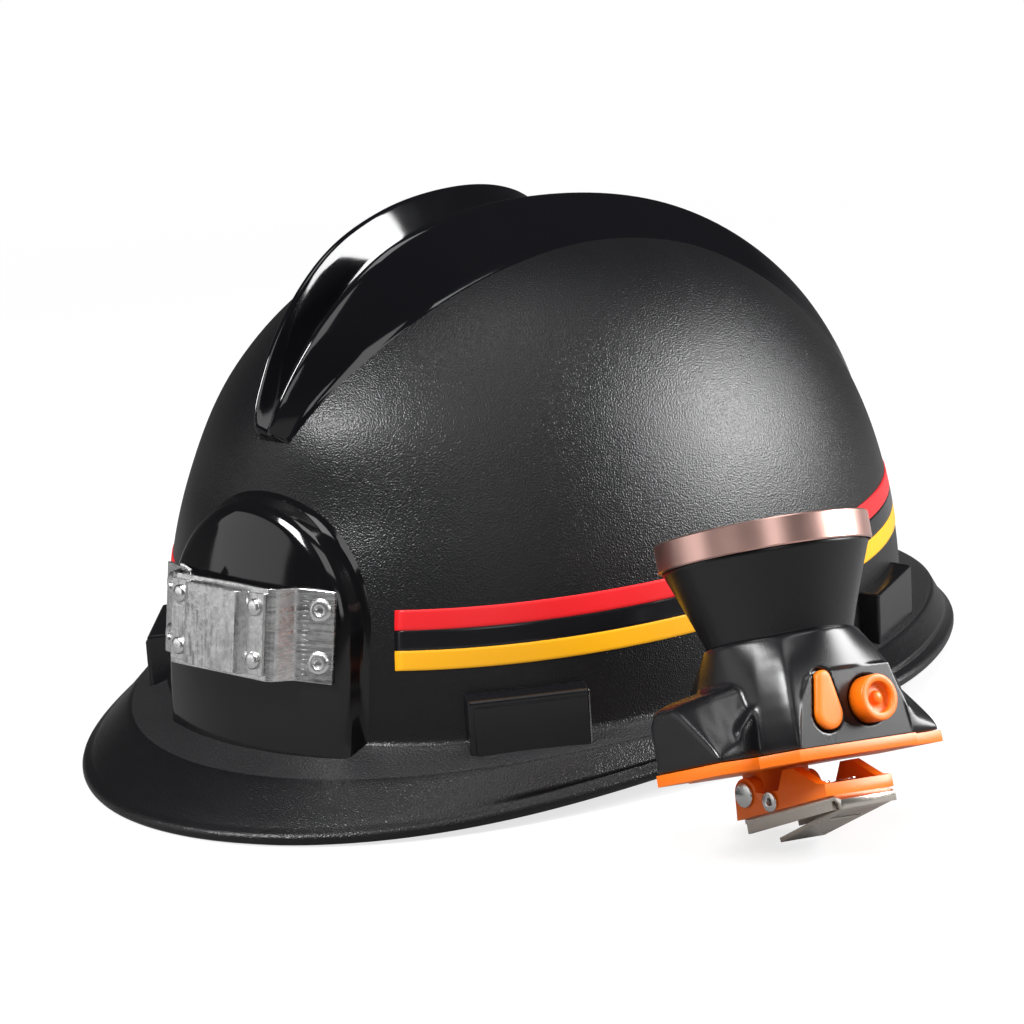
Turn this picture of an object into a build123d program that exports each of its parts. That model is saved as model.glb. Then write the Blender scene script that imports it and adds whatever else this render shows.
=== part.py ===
from build123d import *
from math import atan2, cos, degrees, hypot, pi, radians, sin, sqrt
import os

os.makedirs("parts", exist_ok=True)

# A miner's helmet with its cap lamp standing beside it, in millimetres.
# The wearer looks along -Y, the wearer's left is +X, and the brim rests on the plane of X and Y.

# Shell
dome_half_width = 96.3
dome_half_length = 122.0
dome_crown = 139.0
dome_foot = 14.0
dome_power = 2.25
dome_steps = 14
wall = 2.8
overrun = 5.0

# Brim, with its run past the dome's half sizes at five directions from front to rear
brim_runs = (36.5, 15.45, 17.6, 13.45, 24.5)
brim_side_rise = 8.0
brim_rise_power = 2.5
brim_land = 0.3
brim_thick = 2.8
bead = 3.5
junction_height = 17.0
crease_front_run = 17.0
crease_side_run = 6.5
crease_slope_share = 0.33
brim_sections = 12

# Ridges, as angles about the ear to ear axis and shares of the named sizes
ridge_height = 13.5
ridge_root = 4.0
ridge_root_share = 0.35
ridge_reach = 36.0
ridge_angles = (39.5, 46.0, 54.0, 63.0, 74.0, 88.0, 102.0, 118.0, 134.0, 150.0)
ridge_outer_shares = (0.17, 0.39, 0.61, 0.75, 0.83, 0.90, 1.08, 1.36, 1.47, 1.44)
ridge_crest_shares = (0.08, 0.18, 0.25, 0.28, 0.35, 0.50, 0.72, 1.03, 1.25, 1.33)
ridge_inner_shares = (-0.05, -0.01, 0.08, 0.14, 0.22, 0.36, 0.57, 0.89, 1.14, 1.26)
ridge_height_shares = (0.26, 0.56, 0.81, 1.0, 0.93, 0.73, 0.56, 0.36, 0.21, 0.06)
crest_round_share = 0.35

# Lamp pad at the front of the shell
pad_half_width = 36.5
pad_arch_height = 46.0
pad_rise = 6.0
pad_crown_rise = 9.0
pad_depth = 62.0

# Suspension lugs, by the direction that each one faces
lug_angles = (51.4, 108.0, -108.0, -51.4)
lug_length = 33.0
lug_rise = 4.6
lug_top = 30.8
lug_skin = 1.8
slot_length = 26.0
slot_top = 28.0

# Stripes on each side
stripe_thick = 0.3
stripe_seat = 0.05
stripe_base = 37.4
stripe_width = 5.3
stripe_start = 21.0
stripe_end = 160.0

# Lamp bracket, which leans back with the pad's face
bracket_lean = 11.0
bracket_middle = 49.8
bracket_height = 24.8
bracket_thick = 1.2
bracket_stand = 6.2
bracket_half_width = 18.8
bracket_bend = 22.0
bracket_half_span = 32.5
bracket_seat = 0.4
cover_half_width = 10.0
cover_rise = 2.7
cover_thick = 0.9
cover_flange = 18.2
cover_height = 22.0
rivet_row = 14.0
rivet_step = 14.2
rivet_radius = 1.6
rivet_head_radius = 2.3
rivet_head = 1.1
eyelet_row = 27.4
eyelet_radius = 1.6
eyelet_bore = 0.8
eyelet_head_radius = 3.0
eyelet_head = 0.9
hole_play = 0.1

# Suspension
band_side_gap = 11.5
band_end_gap = 20.2
band_half_width = dome_half_width - wall - band_side_gap
band_half_length = dome_half_length - wall - band_end_gap
band_thick = 1.8
band_foot = 13.0
band_height = 28.0
band_break = 25.0
sweat_thick = 3.0
sweat_gap = 0.3
sweat_angle = 78.0
cradle_side_gap = 5.5
cradle_end_gap = 11.2
cradle_headroom = 30.2
cradle_half_width = dome_half_width - wall - cradle_side_gap
cradle_half_length = dome_half_length - wall - cradle_end_gap
cradle_crown = dome_crown - wall - cradle_headroom
cradle_thick = 1.6
cradle_leg = 15.0
cradle_disc = 24.0
cradle_eye = 12.0
key_thick = 3.0
key_length = 24.0
key_play = 0.4
key_foot = 15.0
peg_radius = 3.0
peg_height = 22.5
peg_play = 0.2
peg_head_radius = 4.2
peg_head = 1.0
peg_seat = 1.3
sweat_inset = 1.0

# Nape adjuster
rack_height = 5.0
rack_middle = 26.0
rack_pitch = 2.4
rack_tooth = 1.5
rack_teeth = 14
rack_reach = 20.0
rack_overlap = 2.0
pinion_teeth = 12
pinion_play = 0.35
adjuster_length = 46.0
adjuster_height = 30.0
adjuster_wall = 1.6
adjuster_play = 0.3
knob_radius = 13.0
knob_depth = 8.0
knob_ribs = 18
knob_rib_radius = 0.9
knob_gap = 0.4
spindle_radius = 2.4
spindle_play = 0.05
spindle_reach_share = 0.75

# Lamp body, with its outlines as places along Y and Z
lamp_side_run = 53.1
lamp_front_inset = 46.0
lamp_height = 20.7
lamp_spot = (dome_half_width + lamp_side_run, lamp_front_inset - dome_half_length, lamp_height)
lamp_turn = (-11.8, -18.3, 76.0)
lamp_wall = 1.8
lamp_play = 0.1
base_half_width = 36.5
base_half_depth = 12.9
base_shoulder = 24.3
base_thick = 3.0
block_half_width = 19.2
block_half_depth = 22.5
neck_height = 32.0
neck_radius = 20.9
neck_flat = 9.5
cone_height = 53.0
cone_radius = 27.0
rim_radius = 26.4
rim_height_over_cone = 3.0
hump_tip = ((12.9, 3.0), (12.9, 18.0), (10.5, 19.8), (2.5, 19.3), (-10.0, 7.5),
            (-12.9, 5.5), (-12.9, 3.0))
hump_root = ((12.9, 3.0), (12.9, 20.0), (10.5, 22.0), (-7.0, 22.0), (-11.5, 17.0),
             (-12.9, 14.8), (-12.9, 3.0))
hollow_tip = ((11.1, 0.0), (11.1, 17.0), (9.8, 18.0), (3.4, 17.6), (-9.2, 5.9),
              (-11.1, 4.6), (-11.1, 0.0))
hollow_root = ((11.1, 0.0), (11.1, 19.0), (9.8, 20.2), (-6.2, 20.2), (-10.0, 16.2),
               (-11.1, 14.0), (-11.1, 0.0))
hump_start = 16.0
ledge_radius = 15.5
ledge_height = 29.7
ledge_thick = 1.5

# Lamp head, from the bezel down to the light source
bezel_radius = 28.1
bezel_height = 7.3
bezel_bore = 26.6
bezel_opening = 25.2
bezel_lip = 1.2
lens_radius = 26.5
lens_thick = 2.0
gasket_inner = 24.6
gasket_thick = 1.0
reflector_inner = ((4.0, 37.0), (11.0, 40.0), (17.5, 45.5), (21.5, 51.0), (23.8, 56.0))
reflector_outer = ((24.8, 56.0), (22.6, 50.6), (18.3, 44.8), (11.6, 39.0), (4.0, 36.0))
sink_radius = 17.5
sink_thick = 3.0
led_board_radius = 10.0
led_board_thick = 1.6
led_radius = 2.6
led_height = 0.6

# Lamp insides
cell_radius = 7.0
cell_length = 50.0
cell_place = (3.0, 10.2)
cell_nub = 1.0
cell_nub_radius = 2.5
board_half_width = 15.0
board_foot = 3.6
board_height = 16.0
board_thick = 1.6
board_front = 16.4
contact_size = 6.0
contact_thick = 0.9
socket_width = 9.0
socket_height = 3.4
socket_length = 4.0

# Switch button and charging port cover
front_row = 12.7
front_face_depth = 21.96
switch_side = 6.0
switch_radius = 5.7
switch_stand = 4.7
switch_tail = 19.7
switch_flange_radius = 6.6
switch_flange = 1.0
switch_play = 0.2
switch_recess_radius = 3.7
switch_recess = 1.5
switch_nub_radius = 1.4
port_side = -7.6
port_low = 10.8
port_low_radius = 4.2
port_high = 19.1
port_high_radius = 2.4
port_stand = 1.2
port_seat = 1.0
port_play = 0.15

# Lamp clip, with its outlines as places along Y and Z
pivot_place = (11.0, -5.2)
pivot_radius = 1.6
pivot_head_radius = 3.2
pivot_head = 0.8
knuckle_radius = 4.0
knuckle_half_width = 7.7
cheek_radius = 4.2
cheek_inner = 8.0
cheek_outer = 11.0
cheek_line = ((15.2, -5.2), (16.0, -11.2), (-20.0, -9.3), (-20.0, -6.2), (-17.0, -5.8), (-9.0, -0.9),
              (-5.0, -0.9), (-2.0, -5.6), (3.5, -5.6), (6.8, -5.2))
floor_line = ((-20.0, -9.3), (-20.0, -6.2), (-4.0, -6.9), (-4.0, -10.14))
pin_place = (1.5, -8.0)
pin_radius = 1.5
pin_head_radius = 2.6
pin_bore = 0.9
clip_thick = 1.2
clip_half_width = 9.0
clip_line = ((15.5, -11.25), (-20.2, -9.35), (-22.6, -10.6), (-22.4, -12.9))
tongue_line = ((-22.4, -12.9), (5.0, -18.4))
tongue_half_width = 7.25
tongue_slot_length = 11.0
tongue_slot_radius = 1.3
tongue_slot_middle = -13.0
lip_line = ((15.0, -12.0), (15.0, -15.0), (-19.0, -12.8), (-19.0, -10.2))
lip_thick = 1.2
clip_rivet_side = 4.5
clip_rivet_along = -11.0
clip_rivet_radius = 1.4
clip_rivet_head_radius = 2.3
clip_rivet_head = 0.7
clip_rivet_top = -6.0
clip_rivet_foot = -11.3


def superellipse(half_length, crown):
    """The points of a dome's outline from its foot to its crown, as reach and height."""
    points = []
    for step in range(dome_steps + 1):
        turn = pi / 2 * step / dome_steps
        reach = half_length * max(cos(turn), 0) ** (2 / dome_power)
        height = dome_foot + (crown - dome_foot) * sin(turn) ** (2 / dome_power)
        points.append((reach, height))
    points[-1] = (0, crown)
    return points


def dome_wall(half_width, half_length, crown, floor):
    """One filled dome that stands on floor, as a sketch turned about Z and narrowed along X."""
    with BuildPart() as dome:
        with BuildSketch(Plane.YZ):
            with BuildLine():
                outline = superellipse(half_length, crown)
                Spline(*outline, tangents=((0, 1), (-1, 0)))
                Polyline((0, crown), (0, floor), (half_length, floor), (half_length, dome_foot))
            make_face()
        revolve(axis=Axis.Z)
        scale(by=(half_width / half_length, 1, 1))
    return dome.part


def ellipse_reach(half_width, half_length, angle):
    """How far an ellipse lies from the middle, in the direction that is angle from the front."""
    return 1 / hypot(sin(radians(angle)) / half_width, cos(radians(angle)) / half_length)


def rim_reach(angle):
    """The brim's reach, from a cosine series through its reaches at the five directions."""
    last = len(brim_runs) - 1
    total = 0
    for wave in range(last + 1):
        part = 0
        for knot, run in enumerate(brim_runs):
            lengthwise = cos(pi * knot / last) ** 2
            reach = lengthwise * dome_half_length + (1 - lengthwise) * dome_half_width + run
            weight = 0.5 if knot in (0, last) else 1.0
            part += weight * reach * cos(pi * wave * knot / last)
        part *= (1.0 if wave in (0, last) else 2.0) / last
        total += part * cos(wave * radians(angle))
    return total


def rim_height(angle):
    """The brim's lowest line: flat at the front and rear, raised over the ears."""
    return brim_side_rise * max(sin(radians(angle)), 0) ** brim_rise_power - brim_land


def crease_run(angle):
    """How far outside the wall the brim's crease runs."""
    return crease_side_run + (crease_front_run - crease_side_run) * cos(radians(angle)) ** 4


def dome_reach(side, angle):
    """The distance from the ear to ear axis to the dome, at one sideways place and angle."""
    near = 0
    far = dome_half_length + dome_crown
    for _ in range(50):
        middle = (near + far) / 2
        along = middle * cos(radians(angle))
        rise = middle * sin(radians(angle)) / (dome_crown - dome_foot)
        width_left = max(1 - rise ** dome_power, 0) ** (1 / dome_power) if rise < 1 else 0
        if hypot(side / dome_half_width, along / dome_half_length) < width_left:
            near = middle
        else:
            far = middle
    return near


dome_outer = dome_wall(dome_half_width, dome_half_length, dome_crown, dome_foot - brim_land)
dome_inner = dome_wall(dome_half_width - wall, dome_half_length - wall, dome_crown - wall, -overrun)


# Brim, half of it lofted through upright sections from the front to the rear
def brim_section(angle):
    """One upright section of the brim, as a face, in the direction that is angle from the front."""
    way = Vector(sin(radians(angle)), -cos(radians(angle)), 0)
    upright = Plane(origin=(0, 0, 0), x_dir=way, z_dir=way.cross(Vector(0, 0, 1)))
    wall_line = ellipse_reach(dome_half_width, dome_half_length, angle)
    root = wall_line - wall / 2
    crease = wall_line + crease_run(angle)
    crease_height = junction_height - crease_run(angle) * crease_slope_share
    edge = rim_reach(angle)
    low = rim_height(angle)
    with BuildSketch(upright) as section:
        with BuildLine():
            Polyline((root, junction_height), (crease, crease_height), (edge - bead / 2, low + bead))
            ThreePointArc((edge - bead / 2, low + bead), (edge, low + bead / 2), (edge - bead / 2, low))
            Polyline((edge - bead / 2, low), (crease, crease_height - brim_thick),
                     (root, junction_height - brim_thick), (root, junction_height))
        make_face()
    return section.sketch


with BuildPart() as brim:
    for step in range(brim_sections + 1):
        add(brim_section(180 * step / brim_sections))
    loft()
    mirror(about=Plane.YZ)


# Ridges, each lofted through sections that fan about the ear to ear axis
def ridge_section(knot):
    """One section of a ridge: an outer flank, a rounded crest and a steep inner flank."""
    angle = ridge_angles[knot]
    outer = ridge_reach * ridge_outer_shares[knot]
    crest = ridge_reach * ridge_crest_shares[knot]
    inner = ridge_reach * ridge_inner_shares[knot]
    height = ridge_height * ridge_height_shares[knot]
    facing = (0, -sin(radians(angle)), -cos(radians(angle)))
    fan = Plane(origin=(0, 0, dome_foot), x_dir=(1, 0, 0), z_dir=facing)
    at_outer = Vector(outer, dome_reach(outer, angle))
    at_inner = Vector(inner, dome_reach(inner, angle))
    at_crest = Vector(crest, dome_reach(crest, angle) + height)
    out_side = at_crest + (at_outer - at_crest) * crest_round_share
    in_side = at_crest + (at_inner - at_crest) * crest_round_share
    top = at_crest * (2 / 3) + (out_side + in_side) / 6
    out_root = at_outer + (at_outer - at_crest) * ridge_root_share
    in_root = at_inner + (at_inner - at_crest) * ridge_root_share
    root = Vector(0, ridge_root)
    with BuildSketch(fan) as section:
        with BuildLine():
            Polyline(in_root - root, in_root, in_side)
            ThreePointArc(in_side, top, out_side)
            Polyline(out_side, out_root, out_root - root, in_root - root)
        make_face()
    return section.sketch


with BuildPart() as ridge:
    for knot in range(len(ridge_angles)):
        add(ridge_section(knot))
    loft()


# Lamp pad, an arched block cut to a fuller dome
pad_skin = dome_wall(dome_half_width + pad_rise, dome_half_length + pad_rise,
                     dome_crown + pad_crown_rise, dome_foot - brim_land)
with BuildPart() as pad:
    with BuildSketch(Plane.XZ.offset(dome_half_length + pad_rise - pad_depth)):
        with BuildLine():
            Polyline((-pad_half_width, pad_arch_height), (-pad_half_width, dome_foot),
                     (pad_half_width, dome_foot), (pad_half_width, pad_arch_height))
            RadiusArc((-pad_half_width, pad_arch_height), (pad_half_width, pad_arch_height), pad_half_width)
        make_face()
    extrude(amount=pad_depth + overrun)
    add(pad_skin, mode=Mode.INTERSECT)


def lug_plane(angle):
    """A level plane at the wall's tangent point for one direction, with X outwards."""
    across = dome_half_width * sin(radians(angle))
    along = dome_half_length * cos(radians(angle))
    reach = hypot(across, along)
    point = (dome_half_width * across / reach, -dome_half_length * along / reach, 0)
    return Plane(origin=point, x_dir=(sin(radians(angle)), -cos(radians(angle)), 0), z_dir=(0, 0, 1))


def lug_span(angle, half_width, half_length):
    """How far an ellipse lies inside the shell's wall, measured along a lug's own direction."""
    across = sin(radians(angle))
    along = cos(radians(angle))
    out_to_wall = hypot(dome_half_width * across, dome_half_length * along)
    return out_to_wall - hypot(half_width * across, half_length * along)


def leg_drop(angle):
    """How far the cradle's leg lies inside the shell's wall at one lug."""
    return lug_span(angle, cradle_half_width, cradle_half_length)


def peg_plane(angle):
    """A plane across one key's peg, with Z outwards."""
    lug = lug_plane(angle)
    return Plane(origin=lug.origin + Vector(0, 0, peg_height), z_dir=lug.x_dir)


def round_hole(plane, radius, reach):
    """One round hole's cutter, reach long each way from its plane."""
    with BuildPart() as hole:
        with BuildSketch(plane):
            Circle(radius)
        extrude(amount=reach, both=True)
    return hole.part


def key_reach(angle):
    """How far the headband's inner face lies inside the shell's wall at one lug."""
    return lug_span(angle, band_half_width - band_thick, band_half_length - band_thick)


def front_face(half_width, half_length, crown, side, height):
    """The place along Y of a dome's front, at one sideways place and height."""
    rise = (height - dome_foot) / (crown - dome_foot)
    level = (1 - rise ** dome_power) ** (1 / dome_power)
    return -half_length * sqrt(level ** 2 - (side / half_width) ** 2)


def pad_face(side):
    """The place along Y of the pad's face at the bracket's middle height."""
    return front_face(dome_half_width + pad_rise, dome_half_length + pad_rise,
                      dome_crown + pad_crown_rise, side, bracket_middle)


# The bracket's plane is level with its foot to crown line, with Y into the helmet
bracket_up = Vector(0, sin(radians(bracket_lean)), cos(radians(bracket_lean)))
bracket_plane = Plane(origin=(0, pad_face(0), bracket_middle), x_dir=(1, 0, 0), z_dir=bracket_up)


def wing_depth(side):
    """How far the pad's face falls back from the bracket plane's origin, at one sideways place."""
    return (pad_face(side) - pad_face(0)) * cos(radians(bracket_lean))


wing_rise = wing_depth(bracket_half_span) - wing_depth(bracket_bend)
wing_run = bracket_half_span - bracket_bend
wing_way = Vector(wing_run, wing_rise).normalized()
eyelet_depth = wing_depth(bracket_bend) + wing_rise * (eyelet_row - bracket_bend) / wing_run
inner_face = front_face(dome_half_width - wall, dome_half_length - wall, dome_crown - wall,
                        eyelet_row, bracket_middle)
wall_run = cos(radians(bracket_lean)) * wing_way.X * (inner_face - pad_face(eyelet_row))
eyelet_grip = bracket_thick + 2 * bracket_seat + wall_run


def eyelet_plane(side, row):
    """A plane on the wing's outer face at one eyelet, with Z outwards."""
    tip = bracket_plane.from_local_coords(Vector(-side * wing_way.Y, wing_way.X, 0))
    point = Vector(side * eyelet_row, eyelet_depth - bracket_seat / wing_way.X - bracket_thick / wing_way.X,
                   row * rivet_step / 2)
    return Plane(origin=bracket_plane.from_local_coords(point), x_dir=bracket_up,
                 z_dir=bracket_plane.origin - tip)


with BuildPart() as shell:
    add(dome_outer)
    add(brim.part)
    add(ridge.part)
    add(ridge.part.mirror(Plane.YZ))
    add(pad.part)
    for angle in lug_angles:
        with BuildSketch(lug_plane(angle).offset(dome_foot - brim_thick)):
            with Locations((-wall, 0)):
                Rectangle(lug_rise + wall, lug_length, align=(Align.MIN, Align.CENTER))
        extrude(amount=lug_top - dome_foot + brim_thick)
    add(dome_inner, mode=Mode.SUBTRACT)
    for angle in lug_angles:
        with BuildSketch(lug_plane(angle).offset(-overrun)):
            with Locations((lug_rise - lug_skin, 0)):
                Rectangle(key_thick + 2 * key_play, slot_length, align=(Align.MAX, Align.CENTER))
        extrude(amount=overrun + slot_top, mode=Mode.SUBTRACT)
        with BuildSketch(lug_plane(angle).offset(-overrun)):
            Rectangle(wall + overrun, 2 * (peg_radius + key_play), align=(Align.MAX, Align.CENTER))
        extrude(amount=overrun + peg_height + peg_radius + key_play, mode=Mode.SUBTRACT)
    for side in (-1, 1):
        for row in (-1, 1):
            with BuildSketch(eyelet_plane(side, row)):
                Circle(eyelet_radius + hole_play)
            extrude(amount=-eyelet_grip - overrun, mode=Mode.SUBTRACT)
    with BuildSketch(Plane.XY):
        Rectangle(2 * dome_half_length, 2 * (rim_reach(0) + overrun))
    extrude(amount=-overrun, mode=Mode.SUBTRACT)
shell.part.label = "shell"
export_step(shell.part, "parts/shell.step")


# Stripes, three strips of film on each side
def stripe(side, row):
    """One strip of film, cut from a thin skin over the dome."""
    grow = stripe_seat + stripe_thick
    skin = dome_wall(dome_half_width + grow, dome_half_length + grow,
                     dome_crown + grow, dome_foot - brim_land)
    core = dome_wall(dome_half_width + stripe_seat, dome_half_length + stripe_seat,
                     dome_crown + stripe_seat, dome_foot - brim_land - overrun)
    far = 2 * dome_half_length
    rays = [(0, 0)]
    for share in (0, 1 / 3, 2 / 3, 1):
        angle = radians(stripe_start + (stripe_end - stripe_start) * share)
        rays.append((side * far * sin(angle), -far * cos(angle)))
    with BuildPart() as strip:
        with BuildSketch(Plane.XY.offset(stripe_base + row * stripe_width)):
            with BuildLine():
                Polyline(*rays, close=True)
            make_face()
        extrude(amount=stripe_width)
        add(skin, mode=Mode.INTERSECT)
        add(core, mode=Mode.SUBTRACT)
    return strip.part


for side_name, side in (("left", 1), ("right", -1)):
    for row, colour in enumerate(("yellow", "black", "red")):
        strip = stripe(side, row)
        strip.label = f"{colour}_stripe_{side_name}"
        export_step(strip, f"parts/{colour}_stripe_{side_name}.step")


# Bracket base, a strip of sheet bent to stand off the pad between its two wings
def rivet_plane(side, row):
    """A plane on the outer face of the bracket's front at one rivet, with Z outwards."""
    point = bracket_plane.from_local_coords(Vector(side * rivet_row, -bracket_stand, row * rivet_step / 2))
    return Plane(origin=point, x_dir=(1, 0, 0), z_dir=bracket_plane.y_dir * -1)


with BuildPart() as bracket_base:
    with BuildSketch(bracket_plane.offset(-bracket_height / 2)):
        with BuildLine():
            wing = [(bracket_half_width, -bracket_stand + bracket_thick),
                    (bracket_bend, wing_depth(bracket_bend) - bracket_seat),
                    (bracket_half_span, wing_depth(bracket_half_span) - bracket_seat)]
            Polyline(*[(-across, depth) for across, depth in reversed(wing)], *wing)
            offset(amount=bracket_thick, side=Side.RIGHT, kind=Kind.INTERSECTION)
        make_face()
    extrude(amount=bracket_height)
    for side in (-1, 1):
        for row in (-1, 1):
            rivet_hole = round_hole(rivet_plane(side, row), rivet_radius + hole_play, 2 * bracket_thick)
            eyelet_hole = round_hole(eyelet_plane(side, row), eyelet_radius + hole_play, overrun)
            add(rivet_hole, mode=Mode.SUBTRACT)
            add(eyelet_hole, mode=Mode.SUBTRACT)
bracket_base.part.label = "bracket_base"
export_step(bracket_base.part, "parts/bracket_base.step")


# Bracket cover, a shallow hat of thinner sheet that leaves a pocket for the lamp's clip
with BuildPart() as bracket_cover:
    with BuildSketch(bracket_plane.offset(-cover_height / 2)):
        with BuildLine():
            flange = [(cover_half_width, -bracket_stand - cover_rise), (cover_half_width, -bracket_stand),
                      (cover_flange, -bracket_stand)]
            Polyline(*[(-across, depth) for across, depth in reversed(flange)], *flange)
            offset(amount=cover_thick, side=Side.RIGHT, kind=Kind.INTERSECTION)
        make_face()
    extrude(amount=cover_height)
    for side in (-1, 1):
        for row in (-1, 1):
            rivet_hole = round_hole(rivet_plane(side, row), rivet_radius + hole_play, 2 * cover_thick)
            add(rivet_hole, mode=Mode.SUBTRACT)
bracket_cover.part.label = "bracket_cover"
export_step(bracket_cover.part, "parts/bracket_cover.step")


# Solid rivets that hold the cover to the base
with BuildPart() as bracket_rivets:
    for side in (-1, 1):
        for row in (-1, 1):
            face = rivet_plane(side, row)
            with BuildSketch(face.offset(cover_thick)):
                Circle(rivet_head_radius)
            extrude(amount=rivet_head)
            with BuildSketch(face.offset(cover_thick)):
                Circle(rivet_radius)
            extrude(amount=-cover_thick - bracket_thick)
            with BuildSketch(face.offset(-bracket_thick)):
                Circle((rivet_radius + rivet_head_radius) / 2)
            extrude(amount=-rivet_head / 2)
bracket_rivets.part.label = "bracket_rivets"
export_step(bracket_rivets.part, "parts/bracket_rivets.step")


# Tubular rivets that hold the base to the shell
with BuildPart() as bracket_eyelets:
    for side in (-1, 1):
        for row in (-1, 1):
            face = eyelet_plane(side, row)
            with BuildSketch(face):
                Circle(eyelet_head_radius)
            extrude(amount=eyelet_head)
            with BuildSketch(face):
                Circle(eyelet_radius)
            extrude(amount=-eyelet_grip)
            with BuildSketch(face.offset(-eyelet_grip)):
                Circle(eyelet_head_radius)
            extrude(amount=-eyelet_head)
            with BuildSketch(face.offset(eyelet_head)):
                Circle(eyelet_bore)
            extrude(amount=-eyelet_grip - 2 * eyelet_head, mode=Mode.SUBTRACT)
bracket_eyelets.part.label = "bracket_eyelets"
export_step(bracket_eyelets.part, "parts/bracket_eyelets.step")


# Headband, an open band whose two rear ends run on as toothed racks
pitch_radius = rack_pitch * pinion_teeth / (2 * pi)
rack_line = band_half_length * sqrt(1 - (band_break / band_half_width) ** 2) - band_thick / 2
with BuildPart() as headband:
    with BuildSketch(Plane.XY.offset(band_foot)):
        Ellipse(band_half_width, band_half_length)
        Ellipse(band_half_width - band_thick, band_half_length - band_thick, mode=Mode.SUBTRACT)
        with Locations((0, band_half_length)):
            Rectangle(2 * band_break, band_half_length, mode=Mode.SUBTRACT)
    extrude(amount=band_height)
    for side in (-1, 1):
        with BuildSketch(Plane.XZ.offset(-rack_line)):
            rack_root = rack_middle + side * (pitch_radius + rack_tooth / 2)
            inner_end, outer_end = (Align.MAX, Align.MIN) if side > 0 else (Align.MIN, Align.MAX)
            with Locations((side * (band_break + rack_overlap), rack_root)):
                Rectangle(band_break + rack_overlap + rack_reach, rack_height - rack_tooth,
                          align=(inner_end, outer_end))
            for tooth in range(rack_teeth):
                along = (tooth + 0.5 - rack_teeth / 2) * rack_pitch
                with Locations((along, rack_root)):
                    Rectangle(rack_pitch / 2, rack_tooth - pinion_play, align=(Align.CENTER, inner_end))
        extrude(amount=band_thick / 2, both=True)
    for angle in lug_angles:
        peg_hole = round_hole(peg_plane(angle), peg_radius + peg_play, key_reach(angle) + overrun)
        add(peg_hole, mode=Mode.SUBTRACT)
headband.part.label = "headband"
export_step(headband.part, "parts/headband.step")


# Sweatband, a padded strip inside the front of the headband
with BuildPart() as sweatband:
    with BuildSketch(Plane.XY.offset(band_foot + sweat_inset)):
        skin = band_thick + sweat_gap
        Ellipse(band_half_width - skin, band_half_length - skin)
        Ellipse(band_half_width - skin - sweat_thick, band_half_length - skin - sweat_thick,
                mode=Mode.SUBTRACT)
        with BuildLine():
            far = 2 * band_half_length
            far_across = far * sin(radians(sweat_angle))
            far_along = -far * cos(radians(sweat_angle))
            Polyline((0, 0), (far_across, far_along), (0, -2 * far), (-far_across, far_along),
                     close=True)
        make_face(mode=Mode.INTERSECT)
    extrude(amount=band_height - 2 * sweat_inset)
    for angle in lug_angles:
        head_hole = round_hole(peg_plane(angle), peg_head_radius + peg_play + peg_seat,
                               key_reach(angle) + peg_seat + peg_head)
        add(head_hole, mode=Mode.SUBTRACT)
sweatband.part.label = "sweatband"
export_step(sweatband.part, "parts/sweatband.step")


# Cradle, four moulded legs that meet in a ring under the crown
def cradle_leg_piece(angle):
    """One leg, an arched strip from the crown down to its lug."""
    foot = lug_plane(angle).origin - lug_plane(angle).x_dir * leg_drop(angle)
    way = Vector(foot.X, foot.Y, 0).normalized()
    reach = ellipse_reach(cradle_half_width, cradle_half_length, degrees(atan2(foot.X, -foot.Y)))
    outer = superellipse(reach, cradle_crown)
    inner = superellipse(reach - cradle_thick, cradle_crown - cradle_thick)
    with BuildPart() as leg:
        with BuildSketch(Plane(origin=(0, 0, 0), x_dir=way, z_dir=way.cross(Vector(0, 0, 1)))):
            with BuildLine():
                Spline(*outer, tangents=((0, 1), (-1, 0)))
                Spline(*inner, tangents=((0, 1), (-1, 0)))
                Line(outer[0], inner[0])
                Line(outer[-1], inner[-1])
            make_face()
        extrude(amount=cradle_leg / 2, both=True)
        with BuildSketch(Plane.XY):
            Circle((cradle_eye + cradle_disc) / 2)
        extrude(amount=cradle_crown, mode=Mode.SUBTRACT)
    return leg.part


with BuildPart() as cradle:
    with BuildSketch(Plane.XY.offset(cradle_crown - 2 * cradle_thick)):
        Circle(cradle_disc)
        Circle(cradle_eye, mode=Mode.SUBTRACT)
    extrude(amount=cradle_thick)
    for angle in lug_angles:
        add(cradle_leg_piece(angle))
        peg_hole = round_hole(peg_plane(angle), peg_radius + peg_play, key_reach(angle) + overrun)
        add(peg_hole, mode=Mode.SUBTRACT)
cradle.part.label = "cradle"
export_step(cradle.part, "parts/cradle.step")


# Four keys, each a blade in a lug's slot with a peg through the cradle's leg and the headband
with BuildPart() as cradle_keys:
    for angle in lug_angles:
        with BuildSketch(lug_plane(angle).offset(key_foot)):
            with Locations((lug_rise - lug_skin - key_play, 0)):
                Rectangle(key_thick, key_length, align=(Align.MAX, Align.CENTER))
        extrude(amount=slot_top - key_play - key_foot)
        peg = Plane(origin=peg_plane(angle).origin, z_dir=-peg_plane(angle).z_dir)
        with BuildSketch(peg):
            Circle(peg_radius)
        extrude(amount=key_reach(angle) + peg_seat)
        with BuildSketch(peg.offset(key_reach(angle) + peg_seat)):
            Circle(peg_head_radius)
        extrude(amount=peg_head)
cradle_keys.part.label = "cradle_keys"
export_step(cradle_keys.part, "parts/cradle_keys.step")


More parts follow.
